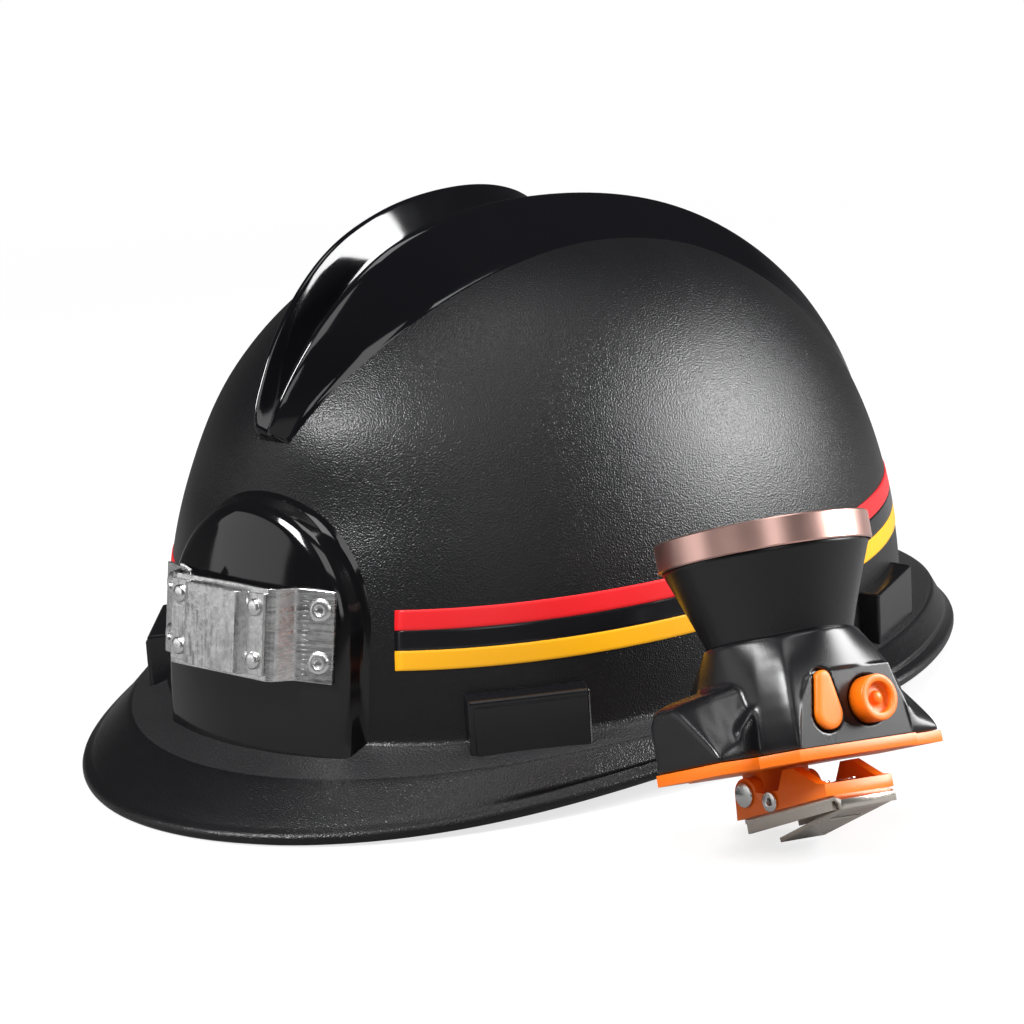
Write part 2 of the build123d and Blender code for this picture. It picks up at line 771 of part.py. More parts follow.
# Nape adjuster, a housing and its cover round the racks and the pinion
adjuster_depth = band_thick / 2 + adjuster_play
with BuildPart() as nape_housing:
    with BuildSketch(Plane.XZ.offset(-rack_line - adjuster_depth)):
        with Locations((0, rack_middle)):
            RectangleRounded(adjuster_length, adjuster_height, knob_depth / 2)
    extrude(amount=2 * adjuster_depth + adjuster_wall)
    with BuildSketch(Plane.XZ.offset(-rack_line - adjuster_depth)):
        with Locations((0, rack_middle)):
            Rectangle(adjuster_length - 2 * adjuster_wall, adjuster_height - 2 * adjuster_wall)
        for side in (-1, 1):
            rack_line_height = rack_middle + side * (pitch_radius + rack_height / 2)
            with Locations((side * adjuster_length / 2, rack_line_height)):
                Rectangle(adjuster_length / 2, rack_height + rack_tooth)
    extrude(amount=2 * adjuster_depth, mode=Mode.SUBTRACT)
nape_housing.part.label = "nape_housing"
export_step(nape_housing.part, "parts/nape_housing.step")

with BuildPart() as nape_cover:
    with BuildSketch(Plane.XZ.offset(-rack_line - adjuster_depth)):
        with Locations((0, rack_middle)):
            RectangleRounded(adjuster_length, adjuster_height, knob_depth / 2)
            Circle(spindle_radius + hole_play, mode=Mode.SUBTRACT)
    extrude(amount=-adjuster_wall)
nape_cover.part.label = "nape_cover"
export_step(nape_cover.part, "parts/nape_cover.step")


# Nape pinion and its spindle
knob_base = rack_line + adjuster_depth + adjuster_wall + knob_gap
with BuildPart() as nape_pinion:
    with BuildSketch(Plane.XZ.offset(-rack_line)):
        with Locations((0, rack_middle)):
            Circle(pitch_radius - rack_tooth / 2 - pinion_play)
            with PolarLocations(pitch_radius - rack_tooth / 2, pinion_teeth):
                Rectangle(2 * rack_tooth - 2 * pinion_play, rack_pitch / 2 - pinion_play)
    extrude(amount=band_thick / 2, both=True)
    with BuildSketch(Plane.XZ.offset(-rack_line)):
        with Locations((0, rack_middle)):
            Circle(spindle_radius)
    extrude(amount=-(knob_base - rack_line + knob_depth * spindle_reach_share))
nape_pinion.part.label = "nape_pinion"
export_step(nape_pinion.part, "parts/nape_pinion.step")


# Nape knob, a ribbed disc on the pinion's spindle
with BuildPart() as nape_knob:
    with BuildSketch(Plane.XZ.offset(-knob_base)):
        with Locations((0, rack_middle)):
            Circle(knob_radius)
            with PolarLocations(knob_radius, knob_ribs):
                Circle(knob_rib_radius)
    extrude(amount=-knob_depth)
    with BuildSketch(Plane.XZ.offset(-knob_base)):
        with Locations((0, rack_middle)):
            Circle(spindle_radius + spindle_play)
    extrude(amount=-(knob_depth * spindle_reach_share + spindle_play), mode=Mode.SUBTRACT)
nape_knob.part.label = "nape_knob"
export_step(nape_knob.part, "parts/nape_knob.step")


# Lamp, each piece drawn upright on the lamp's own axes and set down beside the helmet
lamp_place = Location(lamp_spot, lamp_turn)
lamp_front = Plane.XZ
lamp_side = Plane.YZ


def set_down(piece, name):
    """Move one finished lamp piece to the lamp's place and write it."""
    placed = lamp_place * piece
    placed.label = name
    export_step(placed, f"parts/{name}.step")


def block_outline(inset):
    """The block's plan at its foot, drawn in by inset."""
    wide = base_shoulder - inset
    narrow = block_half_width - inset
    deep = block_half_depth - inset
    shallow = base_half_depth
    corners = [(narrow, -deep), (wide, -shallow), (wide, shallow), (narrow, deep)]
    return corners + [(-across, along) for across, along in reversed(corners)]


def neck_outline(inset):
    """The block's plan at the neck, drawn in by inset."""
    reach = neck_radius - inset
    corners = [(neck_flat, -reach), (reach, -neck_flat), (reach, neck_flat), (neck_flat, reach)]
    return corners + [(-across, along) for across, along in reversed(corners)]


def lamp_block(inset, foot):
    """The block and the cone over it, drawn in by inset."""
    with BuildPart() as block:
        for height, outline in ((foot, block_outline(inset)), (neck_height, neck_outline(inset))):
            with BuildSketch(Plane.XY.offset(height)):
                with BuildLine():
                    Polyline(*outline, close=True)
                make_face()
        loft(ruled=True)
        with BuildSketch(Plane.XZ):
            with BuildLine():
                Polyline((0, neck_height), (neck_radius - inset, neck_height),
                         (cone_radius - inset, cone_height), (0, cone_height), close=True)
            make_face()
        revolve(axis=Axis.Z)
    return block.part


def lamp_hump(tip, root, end):
    """Both humps, each lofted from its root section to its tip section."""
    with BuildPart() as humps:
        for side in (-1, 1):
            for across, outline in ((side * hump_start, root), (side * end, tip)):
                with BuildSketch(lamp_side.offset(across)):
                    with BuildLine():
                        Polyline(*outline, close=True)
                    make_face()
            loft(ruled=True)
    return humps.part


def port_outline(play):
    """The port cover's outline, a drop with its narrow end up."""
    with BuildSketch(lamp_front.offset(front_face_depth)) as outline:
        for height, radius in ((port_low, port_low_radius), (port_high, port_high_radius)):
            with Locations((port_side, height)):
                Circle(radius + play)
        make_hull()
    return outline.sketch


with BuildPart() as lamp_housing:
    add(lamp_block(0, base_thick))
    add(lamp_hump(hump_tip, hump_root, base_half_width))
    with BuildSketch(Plane.XY.offset(cone_height)):
        Circle(rim_radius)
    extrude(amount=rim_height_over_cone)
    add(lamp_block(lamp_wall, 0), mode=Mode.SUBTRACT)
    add(lamp_hump(hollow_tip, hollow_root, base_half_width - lamp_wall), mode=Mode.SUBTRACT)
    with BuildSketch(Plane.XY.offset(cone_height)):
        Circle(cone_radius - lamp_wall)
    extrude(amount=rim_height_over_cone, mode=Mode.SUBTRACT)
    with BuildSketch(Plane.XY.offset(ledge_height)):
        Circle(neck_radius - lamp_wall / 2)
        Circle(ledge_radius, mode=Mode.SUBTRACT)
    extrude(amount=ledge_thick)
    with BuildSketch(lamp_front.offset(switch_tail)):
        with Locations((switch_side, front_row)):
            Circle(switch_radius + switch_play)
    extrude(amount=switch_stand, both=True, mode=Mode.SUBTRACT)
    extrude(port_outline(port_play), amount=overrun, mode=Mode.SUBTRACT)
    extrude(port_outline(port_play), amount=-port_seat - port_play, mode=Mode.SUBTRACT)
    with BuildSketch(lamp_front.offset(front_face_depth)):
        with Locations((port_side, port_low)):
            Rectangle(socket_width + 2 * lamp_play, socket_height + 2 * lamp_play)
    extrude(amount=-overrun, mode=Mode.SUBTRACT)
set_down(lamp_housing.part, "lamp_housing")


# Lamp base, a plate with the knuckle that the clip turns on
def disc_on(plane, middle, radius):
    """One circle on a plane at a named place."""
    with BuildSketch(plane) as disc:
        with Locations(middle):
            Circle(radius)
    return disc.sketch


with BuildPart() as lamp_base:
    with BuildSketch():
        Rectangle(2 * base_half_width, 2 * base_half_depth)
        with BuildLine():
            Polyline(*block_outline(0), close=True)
        make_face()
    extrude(amount=base_thick - lamp_play)
    with BuildSketch(lamp_side):
        with Locations(pivot_place):
            Circle(knuckle_radius)
            Rectangle(2 * knuckle_radius, base_thick - pivot_place[1], align=(Align.CENTER, Align.MIN))
    extrude(amount=knuckle_half_width, both=True)
    extrude(disc_on(lamp_side, pivot_place, pivot_radius + hole_play), amount=base_half_width, both=True,
            mode=Mode.SUBTRACT)
set_down(lamp_base.part, "lamp_base")


# Bezel, a metal ring that clamps the lens
with BuildPart() as bezel:
    with BuildSketch(Plane.XY.offset(cone_height)):
        Circle(bezel_radius)
        Circle(bezel_bore, mode=Mode.SUBTRACT)
    extrude(amount=bezel_height)
    with BuildSketch(Plane.XY.offset(cone_height + bezel_height - bezel_lip)):
        Circle(bezel_bore)
        Circle(bezel_opening, mode=Mode.SUBTRACT)
    extrude(amount=bezel_lip)
set_down(bezel.part, "bezel")


def lamp_disc(foot, thick, radius, bore):
    """One flat disc or ring about the lamp's axis."""
    with BuildPart() as disc:
        with BuildSketch(Plane.XY.offset(foot)):
            Circle(radius)
            if bore:
                Circle(bore, mode=Mode.SUBTRACT)
        extrude(amount=thick)
    return disc.part


# Gasket, lens, heat sink and light source, stacked about the lamp's axis
gasket_foot = cone_height + rim_height_over_cone
sink_foot = ledge_height + ledge_thick
board_foot_over_sink = sink_foot + sink_thick
set_down(lamp_disc(gasket_foot, gasket_thick, lens_radius, gasket_inner), "lens_gasket")
set_down(lamp_disc(gasket_foot + gasket_thick, lens_thick, lens_radius, 0), "lens")
set_down(lamp_disc(sink_foot, sink_thick, sink_radius, 0), "heat_sink")
set_down(lamp_disc(board_foot_over_sink, led_board_thick, led_board_radius, 0), "led_board")
with BuildPart() as led:
    with BuildSketch(Plane.XY.offset(board_foot_over_sink + led_board_thick)):
        Circle(led_radius)
    extrude(amount=led_height)
    with Locations((0, 0, board_foot_over_sink + led_board_thick + led_height)):
        Sphere(led_radius, arc_size1=0, align=(Align.CENTER, Align.CENTER, Align.MIN))
set_down(led.part, "led")


# Reflector, a thin bowl round the light source
with BuildPart() as reflector:
    with BuildSketch(Plane.XZ):
        with BuildLine():
            Polyline(*reflector_inner, *reflector_outer, close=True)
        make_face()
    revolve(axis=Axis.Z)
set_down(reflector.part, "reflector")


# Cell, with a raised end contact
with BuildPart() as cell:
    extrude(disc_on(lamp_side, cell_place, cell_radius), amount=cell_length / 2, both=True)
    extrude(disc_on(lamp_side.offset(cell_length / 2), cell_place, cell_nub_radius), amount=cell_nub)
set_down(cell.part, "cell")


# Circuit board with the switch's contact, and the charging socket
with BuildPart() as circuit_board:
    with BuildSketch(lamp_front.offset(board_front)):
        with Locations((0, board_foot)):
            Rectangle(2 * board_half_width, board_height, align=(Align.CENTER, Align.MIN))
    extrude(amount=-board_thick)
    with BuildSketch(lamp_front.offset(board_front)):
        with Locations((switch_side, front_row)):
            Rectangle(contact_size, contact_size)
    extrude(amount=contact_thick)
set_down(circuit_board.part, "circuit_board")

with BuildPart() as charging_socket:
    with BuildSketch(lamp_front.offset(board_front)):
        with Locations((port_side, port_low)):
            Rectangle(socket_width, socket_height)
            Rectangle(socket_width - socket_height / 2, socket_height / 2, mode=Mode.SUBTRACT)
    extrude(amount=socket_length)
    with BuildSketch(lamp_front.offset(board_front)):
        with Locations((port_side, port_low)):
            Rectangle(socket_width, socket_height)
    extrude(amount=contact_thick)
set_down(charging_socket.part, "charging_socket")


# Switch button, held from behind by its flange
with BuildPart() as switch_button:
    extrude(disc_on(lamp_front.offset(switch_tail), (switch_side, front_row), switch_radius),
            amount=front_face_depth + switch_stand - switch_tail)
    extrude(disc_on(lamp_front.offset(switch_tail), (switch_side, front_row), switch_flange_radius),
            amount=-switch_flange)
    face = lamp_front.offset(front_face_depth + switch_stand)
    recess = disc_on(face, (switch_side, front_row), switch_recess_radius)
    extrude(recess, amount=-switch_recess, mode=Mode.SUBTRACT)
    extrude(disc_on(face.offset(-switch_recess), (switch_side, front_row), switch_nub_radius),
            amount=switch_recess * 2 / 3)
set_down(switch_button.part, "switch_button")


# Port cover, hinged at its narrow upper end
with BuildPart() as port_cover:
    extrude(port_outline(0), amount=port_stand)
    extrude(port_outline(0), amount=-port_seat)
set_down(port_cover.part, "port_cover")


# Clip carrier, two cheeks and a floor that turn on the lamp's pivot
def side_plate(outline, inner, outer):
    """One plate standing along the lamp's side, drawn from its outline."""
    with BuildPart() as plate:
        with BuildSketch(lamp_side.offset(inner)):
            with BuildLine():
                Polyline(*outline, close=True)
            make_face()
        extrude(amount=outer - inner)
    return plate.part


with BuildPart() as clip_carrier:
    add(side_plate(floor_line, -cheek_outer, cheek_outer))
    for inner, outer in ((-cheek_outer, -cheek_inner), (cheek_inner, cheek_outer)):
        add(side_plate(cheek_line, inner, outer))
        extrude(disc_on(lamp_side.offset(inner), pivot_place, cheek_radius), amount=outer - inner)
    extrude(disc_on(lamp_side, pivot_place, pivot_radius + hole_play), amount=base_half_width, both=True,
            mode=Mode.SUBTRACT)
    extrude(disc_on(lamp_side, pin_place, pin_radius + hole_play), amount=base_half_width, both=True,
            mode=Mode.SUBTRACT)
    for side in (-1, 1):
        with BuildSketch(Plane.XY):
            with Locations((side * clip_rivet_side, clip_rivet_along)):
                Circle(clip_rivet_radius + hole_play)
        extrude(amount=-base_half_width, mode=Mode.SUBTRACT)
set_down(clip_carrier.part, "clip_carrier")


# Spring clip, a leaf with two side lips that folds back into a slotted tongue
with BuildPart() as spring_clip:
    for outline, half_width in ((clip_line, clip_half_width), (tongue_line, tongue_half_width)):
        with BuildSketch(lamp_side.offset(-half_width)):
            with BuildLine():
                Polyline(*outline)
                offset(amount=clip_thick, side=Side.LEFT, kind=Kind.INTERSECTION)
            make_face()
        extrude(amount=2 * half_width)
    for inner, outer in ((-clip_half_width, lip_thick - clip_half_width),
                         (clip_half_width - lip_thick, clip_half_width)):
        add(side_plate(lip_line, inner, outer))
    with BuildSketch(Plane.XY.offset(clip_rivet_foot - clip_thick)):
        with Locations((0, tongue_slot_middle)):
            SlotOverall(tongue_slot_length, 2 * tongue_slot_radius)
    extrude(amount=-base_half_width, mode=Mode.SUBTRACT)
    for side in (-1, 1):
        with BuildSketch(Plane.XY.offset(clip_rivet_foot - clip_thick)):
            with Locations((side * clip_rivet_side, clip_rivet_along)):
                Circle(clip_rivet_radius + hole_play)
        extrude(amount=base_half_width, mode=Mode.SUBTRACT)
set_down(spring_clip.part, "spring_clip")


# Pivot pin, cross pin and clip rivets
with BuildPart() as pivot_pin:
    extrude(disc_on(lamp_side, pivot_place, pivot_radius), amount=cheek_outer, both=True)
    for side in (-1, 1):
        head = disc_on(lamp_side.offset(side * cheek_outer), pivot_place, pivot_head_radius)
        extrude(head, amount=side * pivot_head)
set_down(pivot_pin.part, "pivot_pin")

with BuildPart() as cross_pin:
    extrude(disc_on(lamp_side, pin_place, pin_radius), amount=cheek_outer, both=True)
    for side in (-1, 1):
        head = disc_on(lamp_side.offset(side * cheek_outer), pin_place, pin_head_radius)
        extrude(head, amount=side * pivot_head)
    extrude(disc_on(lamp_side, pin_place, pin_bore), amount=base_half_width, both=True, mode=Mode.SUBTRACT)
set_down(cross_pin.part, "cross_pin")

with BuildPart() as clip_rivets:
    for side in (-1, 1):
        middle = (side * clip_rivet_side, clip_rivet_along)
        extrude(disc_on(Plane.XY.offset(clip_rivet_foot), middle, clip_rivet_radius),
                amount=clip_rivet_top - clip_rivet_foot)
        lower_head = disc_on(Plane.XY.offset(clip_rivet_foot), middle, clip_rivet_head_radius)
        upper_head = disc_on(Plane.XY.offset(clip_rivet_top), middle, clip_rivet_head_radius)
        extrude(lower_head, amount=-clip_rivet_head)
        extrude(upper_head, amount=clip_rivet_head)
set_down(clip_rivets.part, "clip_rivets")
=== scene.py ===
import math
import bmesh
import bpy
import numpy as np
from mathutils import Matrix, Vector


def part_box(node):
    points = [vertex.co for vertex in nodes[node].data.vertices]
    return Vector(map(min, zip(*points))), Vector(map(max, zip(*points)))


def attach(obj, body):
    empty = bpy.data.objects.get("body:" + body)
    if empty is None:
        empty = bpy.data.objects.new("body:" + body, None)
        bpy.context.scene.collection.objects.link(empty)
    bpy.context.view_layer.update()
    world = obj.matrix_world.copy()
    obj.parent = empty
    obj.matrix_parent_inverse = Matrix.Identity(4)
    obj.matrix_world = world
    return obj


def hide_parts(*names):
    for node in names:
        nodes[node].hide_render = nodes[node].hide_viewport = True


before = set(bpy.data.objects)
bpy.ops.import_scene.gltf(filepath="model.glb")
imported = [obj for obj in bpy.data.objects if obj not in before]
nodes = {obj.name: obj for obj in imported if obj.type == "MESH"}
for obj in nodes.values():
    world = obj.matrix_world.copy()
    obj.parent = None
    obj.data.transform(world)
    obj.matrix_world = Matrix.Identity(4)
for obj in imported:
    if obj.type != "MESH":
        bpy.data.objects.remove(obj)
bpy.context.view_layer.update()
scene = bpy.context.scene
MM = 0.001


# Studio: a pale table in soft light, with a strong softbox at the helmet's left and weaker ones
# round its front. The camera has a long lens and looks a little down at the front left corner.
def placed(name, data):
    """A new object in the scene, round its camera, lamp or mesh."""
    thing = bpy.data.objects.new(name, data)
    scene.collection.objects.link(thing)
    return thing


azimuth = math.radians(41.48)
elevation = math.radians(14.53)
roll = math.radians(3.58)
camera_distance = 0.9939
lens_length = 118.83
look_across, look_height = -0.00739, 0.0504

level_right = Vector((math.cos(azimuth), math.sin(azimuth), 0))
camera_back = Vector((math.sin(azimuth) * math.cos(elevation),
                      -math.cos(azimuth) * math.cos(elevation), math.sin(elevation)))
level_up = camera_back.cross(level_right)
camera_right = level_right * math.cos(roll) - level_up * math.sin(roll)
camera_up = level_right * math.sin(roll) + level_up * math.cos(roll)
camera = placed("camera", bpy.data.cameras.new("camera"))
camera.data.lens = lens_length
camera.data.clip_end = 20
looked_at = level_right * look_across + Vector((0, 0, look_height))
camera.matrix_world = Matrix.Translation(looked_at + camera_back * camera_distance) @ Matrix(
    (camera_right, camera_up, camera_back)).transposed().to_4x4()
scene.camera = camera
scene.view_settings.view_transform = "Standard"


lit_middle = Vector((0.02, -0.02, 0.07))


def softbox(name, way, distance, width, height, power):
    """A rectangular lamp that stands in one direction from the helmet and faces it."""
    lamp = bpy.data.lights.new(name, "AREA")
    lamp.shape = "RECTANGLE"
    lamp.size, lamp.size_y, lamp.energy = width, height, power
    stand = placed(name, lamp)
    stand.location = lit_middle + Vector(way).normalized() * distance
    stand.rotation_euler = (stand.location - lit_middle).to_track_quat("Z", "Y").to_euler()


softbox("softbox_left", (0.66, 0.62, 0.38), 1.1, 0.58, 0.62, 23.0)
softbox("softbox_front", (-0.12, -0.68, 0.72), 1.1, 0.30, 0.40, 15.0)
softbox("softbox_high", (0.50, -0.42, 0.76), 1.1, 0.52, 0.46, 1.8)
softbox("softbox_side", (-0.64, -0.76, 0.16), 1.2, 0.80, 0.50, 1.4)
softbox("softbox_top", (0.15, 0.10, 1.0), 1.3, 0.5, 0.5, 3.0)
softbox("softbox_fill", (0.95, -0.75, 0.42), 1.5, 0.40, 0.40, 1.2)


def add(tree, kind, settings=(), **traits):
    """A new shader node, with its traits and its inputs set."""
    node = tree.nodes.new("ShaderNode" + kind)
    for trait, value in traits.items():
        setattr(node, trait, value)
    for socket, value in dict(settings).items():
        node.inputs[socket].default_value = value
    return node


def wire(tree, *joins):
    """Joins shader nodes, each from one node's output to another's input."""
    for start, out, end, into in joins:
        tree.links.new(start.outputs[out], end.inputs[into])


sky_on_matte = 0.30
sky_in_gloss = {"From Min": -0.05, "From Max": 0.30, "To Min": 0.09, "To Max": 0.018}
world = bpy.data.worlds.new("studio")
scene.world = world
world.use_nodes = True
sky = world.node_tree
sky.nodes.clear()
sky_out = add(sky, "OutputWorld")
sky_light = add(sky, "Background", {"Color": (1, 1, 1, 1)})
sky_ray = add(sky, "LightPath")
sky_way = add(sky, "TexCoord")
sky_split = add(sky, "SeparateXYZ")
sky_fade = add(sky, "MapRange", sky_in_gloss, interpolation_type="SMOOTHSTEP")
sky_seen = add(sky, "Math", operation="MAXIMUM")
sky_gloss = add(sky, "Mix", {"A": sky_on_matte})
sky_strength = add(sky, "Mix", {"B": 1.0})
wire(sky, (sky_way, "Generated", sky_split, 0), (sky_split, "Z", sky_fade, "Value"),
     (sky_ray, "Is Glossy Ray", sky_seen, 0), (sky_ray, "Is Transmission Ray", sky_seen, 1),
     (sky_seen, 0, sky_gloss, "Factor"), (sky_fade, 0, sky_gloss, "B"),
     (sky_ray, "Is Camera Ray", sky_strength, "Factor"), (sky_gloss, 0, sky_strength, "A"),
     (sky_strength, 0, sky_light, "Strength"), (sky_light, 0, sky_out, "Surface"))

table_size, table_drop = 1.6, 0.0003
table_tone, table_white = 0.22, 0.74
table_fade_start, table_fade_end = 0.30, 0.95
table = placed("table", bpy.data.meshes.new("table"))
corners = [(x * table_size, y * table_size, -table_drop) for x, y in ((-1, -1), (1, -1), (1, 1), (-1, 1))]
table.data.from_pydata(corners, [], [(0, 1, 2, 3)])
pale = bpy.data.materials.new("pale_table")
pale.use_nodes = True
board = pale.node_tree
board.nodes.clear()
table_out = add(board, "OutputMaterial")
table_mix = add(board, "MixShader")
table_add = add(board, "AddShader")
table_matte = add(board, "BsdfDiffuse", {"Color": (table_tone, table_tone, table_tone, 1)})
table_glow = add(board, "Emission")
table_ray = add(board, "LightPath")
table_lift = add(board, "Math", {1: table_white}, operation="MULTIPLY")
table_clear = add(board, "BsdfTransparent")
table_place = add(board, "TexCoord")
table_reach = add(board, "VectorMath", operation="LENGTH")
table_fade = add(board, "MapRange", {"From Min": table_fade_start, "From Max": table_fade_end},
                 interpolation_type="SMOOTHSTEP")
wire(board, (table_ray, "Is Camera Ray", table_lift, 0), (table_lift, 0, table_glow, "Strength"),
     (table_matte, 0, table_add, 0), (table_glow, 0, table_add, 1),
     (table_place, "Object", table_reach, 0), (table_reach, "Value", table_fade, "Value"),
     (table_fade, 0, table_mix, "Fac"), (table_add, 0, table_mix, 1), (table_clear, 0, table_mix, 2),
     (table_mix, 0, table_out, "Surface"))
table.data.materials.append(pale)


# Shell: one injection moulding in black plastic. Its dome and brim come out of the tool with a
# fine sand grain, coarser on the band beside the wall, whose lighter colour is painted light from above; its
# inside is satin.
dome_half_width, dome_half_length, dome_crown, dome_foot = 96.3, 122.0, 139.0, 14.0
dome_power = 2.25
shell_wall = 2.8
wall_blend = ((0.05, 18.4), (0.35, 17.5), (1.1, 16.9))
brim_reaches = (158.5, 124.6, 113.9, 122.6, 146.5)
brim_junction = 17.0
brim_slope = 0.33
lip_height = 3.5
side_lift = 8.0
band_at_sides, band_more_in_front = 6.5, 10.5
sand_face, band_face, inside_face = 0, 1, 2
brow_push, brow_half_width, brow_depth = 9.0, 44.0, 60.0
brow_foot, brow_full = 72.0, 104.0
black_plastic = (0.0045, 0.0045, 0.0052)


def moulding(name, colour, rough, grain, depth, mottle=0.05, metal=0.0, detail=2.0, sheen=0.5):
    """A finish with a grain of one size and depth in mm, and patches where its gloss changes."""
    finish = bpy.data.materials.new(name)
    finish.use_nodes = True
    web = finish.node_tree
    skin = web.nodes["Principled BSDF"]
    for socket, value in (("Base Color", (*colour, 1)), ("Metallic", metal), ("Specular IOR Level", sheen)):
        skin.inputs[socket].default_value = value
    place = add(web, "TexCoord")
    patches = add(web, "TexNoise", {"Scale": 38, "Detail": 4})
    spread = add(web, "MapRange", {"From Min": 0.3, "From Max": 0.7,
                                   "To Min": rough - mottle, "To Max": rough + mottle})
    specks = add(web, "TexNoise", {"Scale": 1.0 / (grain * MM), "Detail": detail})
    relief = add(web, "Bump", {"Strength": 1.0, "Distance": depth * MM})
    wire(web, (place, "Object", patches, "Vector"), (place, "Object", specks, "Vector"),
         (patches, "Fac", spread, "Value"), (spread, 0, skin, "Roughness"),
         (specks, "Fac", relief, "Height"), (relief, 0, skin, "Normal"))
    return finish


def mesh_piece(name, points, faces, finishes, body, slot, replaced, smooth=True, turned=None):
    """One piece from its points in mm and its faces, finished, riding on a body."""
    shape = bpy.data.meshes.new(name)
    shape.from_pydata([tuple(p) for p in np.asarray(points, float) * MM], [], faces)
    shape.update()
    return finish_piece(placed(name, shape), finishes, body, replaced, smooth, turned)


def outward(shape):
    """Turns every face of a mesh outwards."""
    work = bmesh.new()
    work.from_mesh(shape)
    bmesh.ops.recalc_face_normals(work, faces=work.faces)
    work.to_mesh(shape)
    work.free()


def finish_piece(piece, finishes, body, replaced, smooth=True, turned=None):
    """Outward faces, soft shading, its finishes, its place and its body."""
    outward(piece.data)
    if smooth:
        piece.data.shade_smooth()
    for finish in finishes:
        piece.data.materials.append(finish)
    if turned is not None:
        piece.matrix_world = turned
    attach(piece, body)
    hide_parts(*replaced)
    return piece


def brow(points):
    """The crown's front stands fuller than the dome's curve: each point in mm, moved forwards."""
    points = np.array(points, float)
    rise = np.clip((points[:, 2] - brow_foot) / (brow_full - brow_foot), 0, 1)
    ahead = np.clip((brow_depth - points[:, 1]) / (2 * brow_depth), 0, 1)
    share = rise ** 2 * (3 - 2 * rise) * ahead ** 2 * (3 - 2 * ahead)
    points[:, 1] -= brow_push * share * np.exp(-(points[:, 0] / brow_half_width) ** 2)
    return points


def ellipse_reach(half_width, half_length, angle):
    """How far an oval reaches in one direction from its middle."""
    return 1 / np.hypot(np.sin(angle) / half_width, np.cos(angle) / half_length)


def rim_reach(angle):
    """The brim's reach by direction, as a cosine series through its five named reaches."""
    last = len(brim_reaches) - 1
    total = 0
    for wave in range(last + 1):
        part = 0
        for knot, reach in enumerate(brim_reaches):
            part += (0.5 if knot in (0, last) else 1.0) * reach * math.cos(math.pi * wave * knot / last)
        total = total + part * (1.0 if wave in (0, last) else 2.0) / last * np.cos(wave * angle)
    return total


def rows_of(rows, around):
    """The faces between neighbouring rows of points that run round a form."""
    return [(row * around + k, row * around + (k + 1) % around,
             (row + 1) * around + (k + 1) % around, (row + 1) * around + k)
            for row in range(rows - 1) for k in range(around)]


def end_faces(rows, around):
    """The two flat ends of such a form."""
    return [tuple(range(around)), tuple((rows - 1) * around + k for k in range(around))[::-1]]


def fan_faces(first, around, top, under):
    """The faces that close the first row with one point and the last row with another."""
    faces = []
    for k in range(around):
        n = (k + 1) % around
        faces += [(top, n, k), (under, first + k, first + n)]
    return faces


angles = np.linspace(0, 2 * math.pi, 300, endpoint=False)
rings = []


def lay_ring(reach, height):
    """One ring of points round the shell, at a reach and a height for each direction."""
    height = np.maximum(height + np.zeros_like(angles), 0)
    rings.append(np.stack([reach * np.sin(angles), -reach * np.cos(angles), height], -1))


wall_line = ellipse_reach(dome_half_width, dome_half_length, angles)
rim = rim_reach(angles)
rim_low = side_lift * np.abs(np.sin(angles)) ** 2.5 - 0.3
crease_run = band_at_sides + band_more_in_front * np.cos(angles) ** 4
crease = wall_line + crease_run
crease_height = brim_junction - crease_run * brim_slope
for turn in np.radians(np.linspace(88.8, 2.2, 92)):
    lay_ring(wall_line * math.cos(turn) ** (2 / dome_power),
             dome_foot + (dome_crown - dome_foot) * math.sin(turn) ** (2 / dome_power))
for out, height in wall_blend:
    lay_ring(wall_line + out, height)
band_first = len(rings) - 1
for share in (0.3, 0.55, 0.8, 0.93):
    lay_ring(wall_line + crease_run * share, brim_junction - crease_run * share * brim_slope)
band_last = len(rings) - 1
lip_inner, lip_top = rim - lip_height / 2, rim_low + lip_height
for share in (0.03, 0.12, 0.3, 0.5, 0.7, 0.84):
    lay_ring(crease + (lip_inner - crease) * share, crease_height + (lip_top - crease_height) * share)
lip_slope = (crease_height - lip_top) / (lip_inner - crease)
for back, dip in ((1.5, 0.10), (0.9, 0.14)):
    lay_ring(lip_inner - back, lip_top + back * lip_slope - dip)
for turn in np.radians(np.linspace(70, -90, 9)):
    lay_ring(lip_inner + lip_height / 2 * math.cos(turn), rim_low + lip_height / 2 * (1 + math.sin(turn)))
outside_last = len(rings) - 1
lay_ring(crease, crease_height - shell_wall)
lay_ring(wall_line + 0.5, brim_junction - shell_wall - 0.3)
inner_line = ellipse_reach(dome_half_width - shell_wall, dome_half_length - shell_wall, angles)
lay_ring(inner_line + 0.6, brim_junction - shell_wall - 0.1)
lay_ring(inner_line, brim_junction - shell_wall + 0.6)
for turn in np.radians(np.linspace(3, 88.8, 40)):
    lay_ring(inner_line * math.cos(turn) ** (2 / dome_power),
             dome_foot + (dome_crown - shell_wall - dome_foot) * math.sin(turn) ** (2 / dome_power))
count = len(angles)
points = brow(np.concatenate(rings + [[[0, 0, dome_crown], [0, 0, dome_crown - shell_wall]]]))
faces, kinds = rows_of(len(rings), count), []
for row in range(len(rings) - 1):
    kind = inside_face if row >= outside_last else sand_face
    kinds += [band_face if band_first <= row < band_last else kind] * count
faces += fan_faces((len(rings) - 1) * count, count, len(points) - 2, len(points) - 1)
kinds += [sand_face, inside_face] * count
sand_grain = moulding("sand_grain", black_plastic, 0.35, 0.42, 0.13, mottle=0.02, detail=0.0, sheen=0.42)
# The band's lighter colour is painted light, standing in for light from above on its flatter face; its
# coarser, deeper grain is real.
band_grain_and_painted_light = moulding("band_grain_and_painted_light", (0.014, 0.014, 0.015), 0.44, 0.60, 0.20, mottle=0.03, detail=0.0)
inside_satin = moulding("inside_satin", black_plastic, 0.34, 1.5, 0.02)
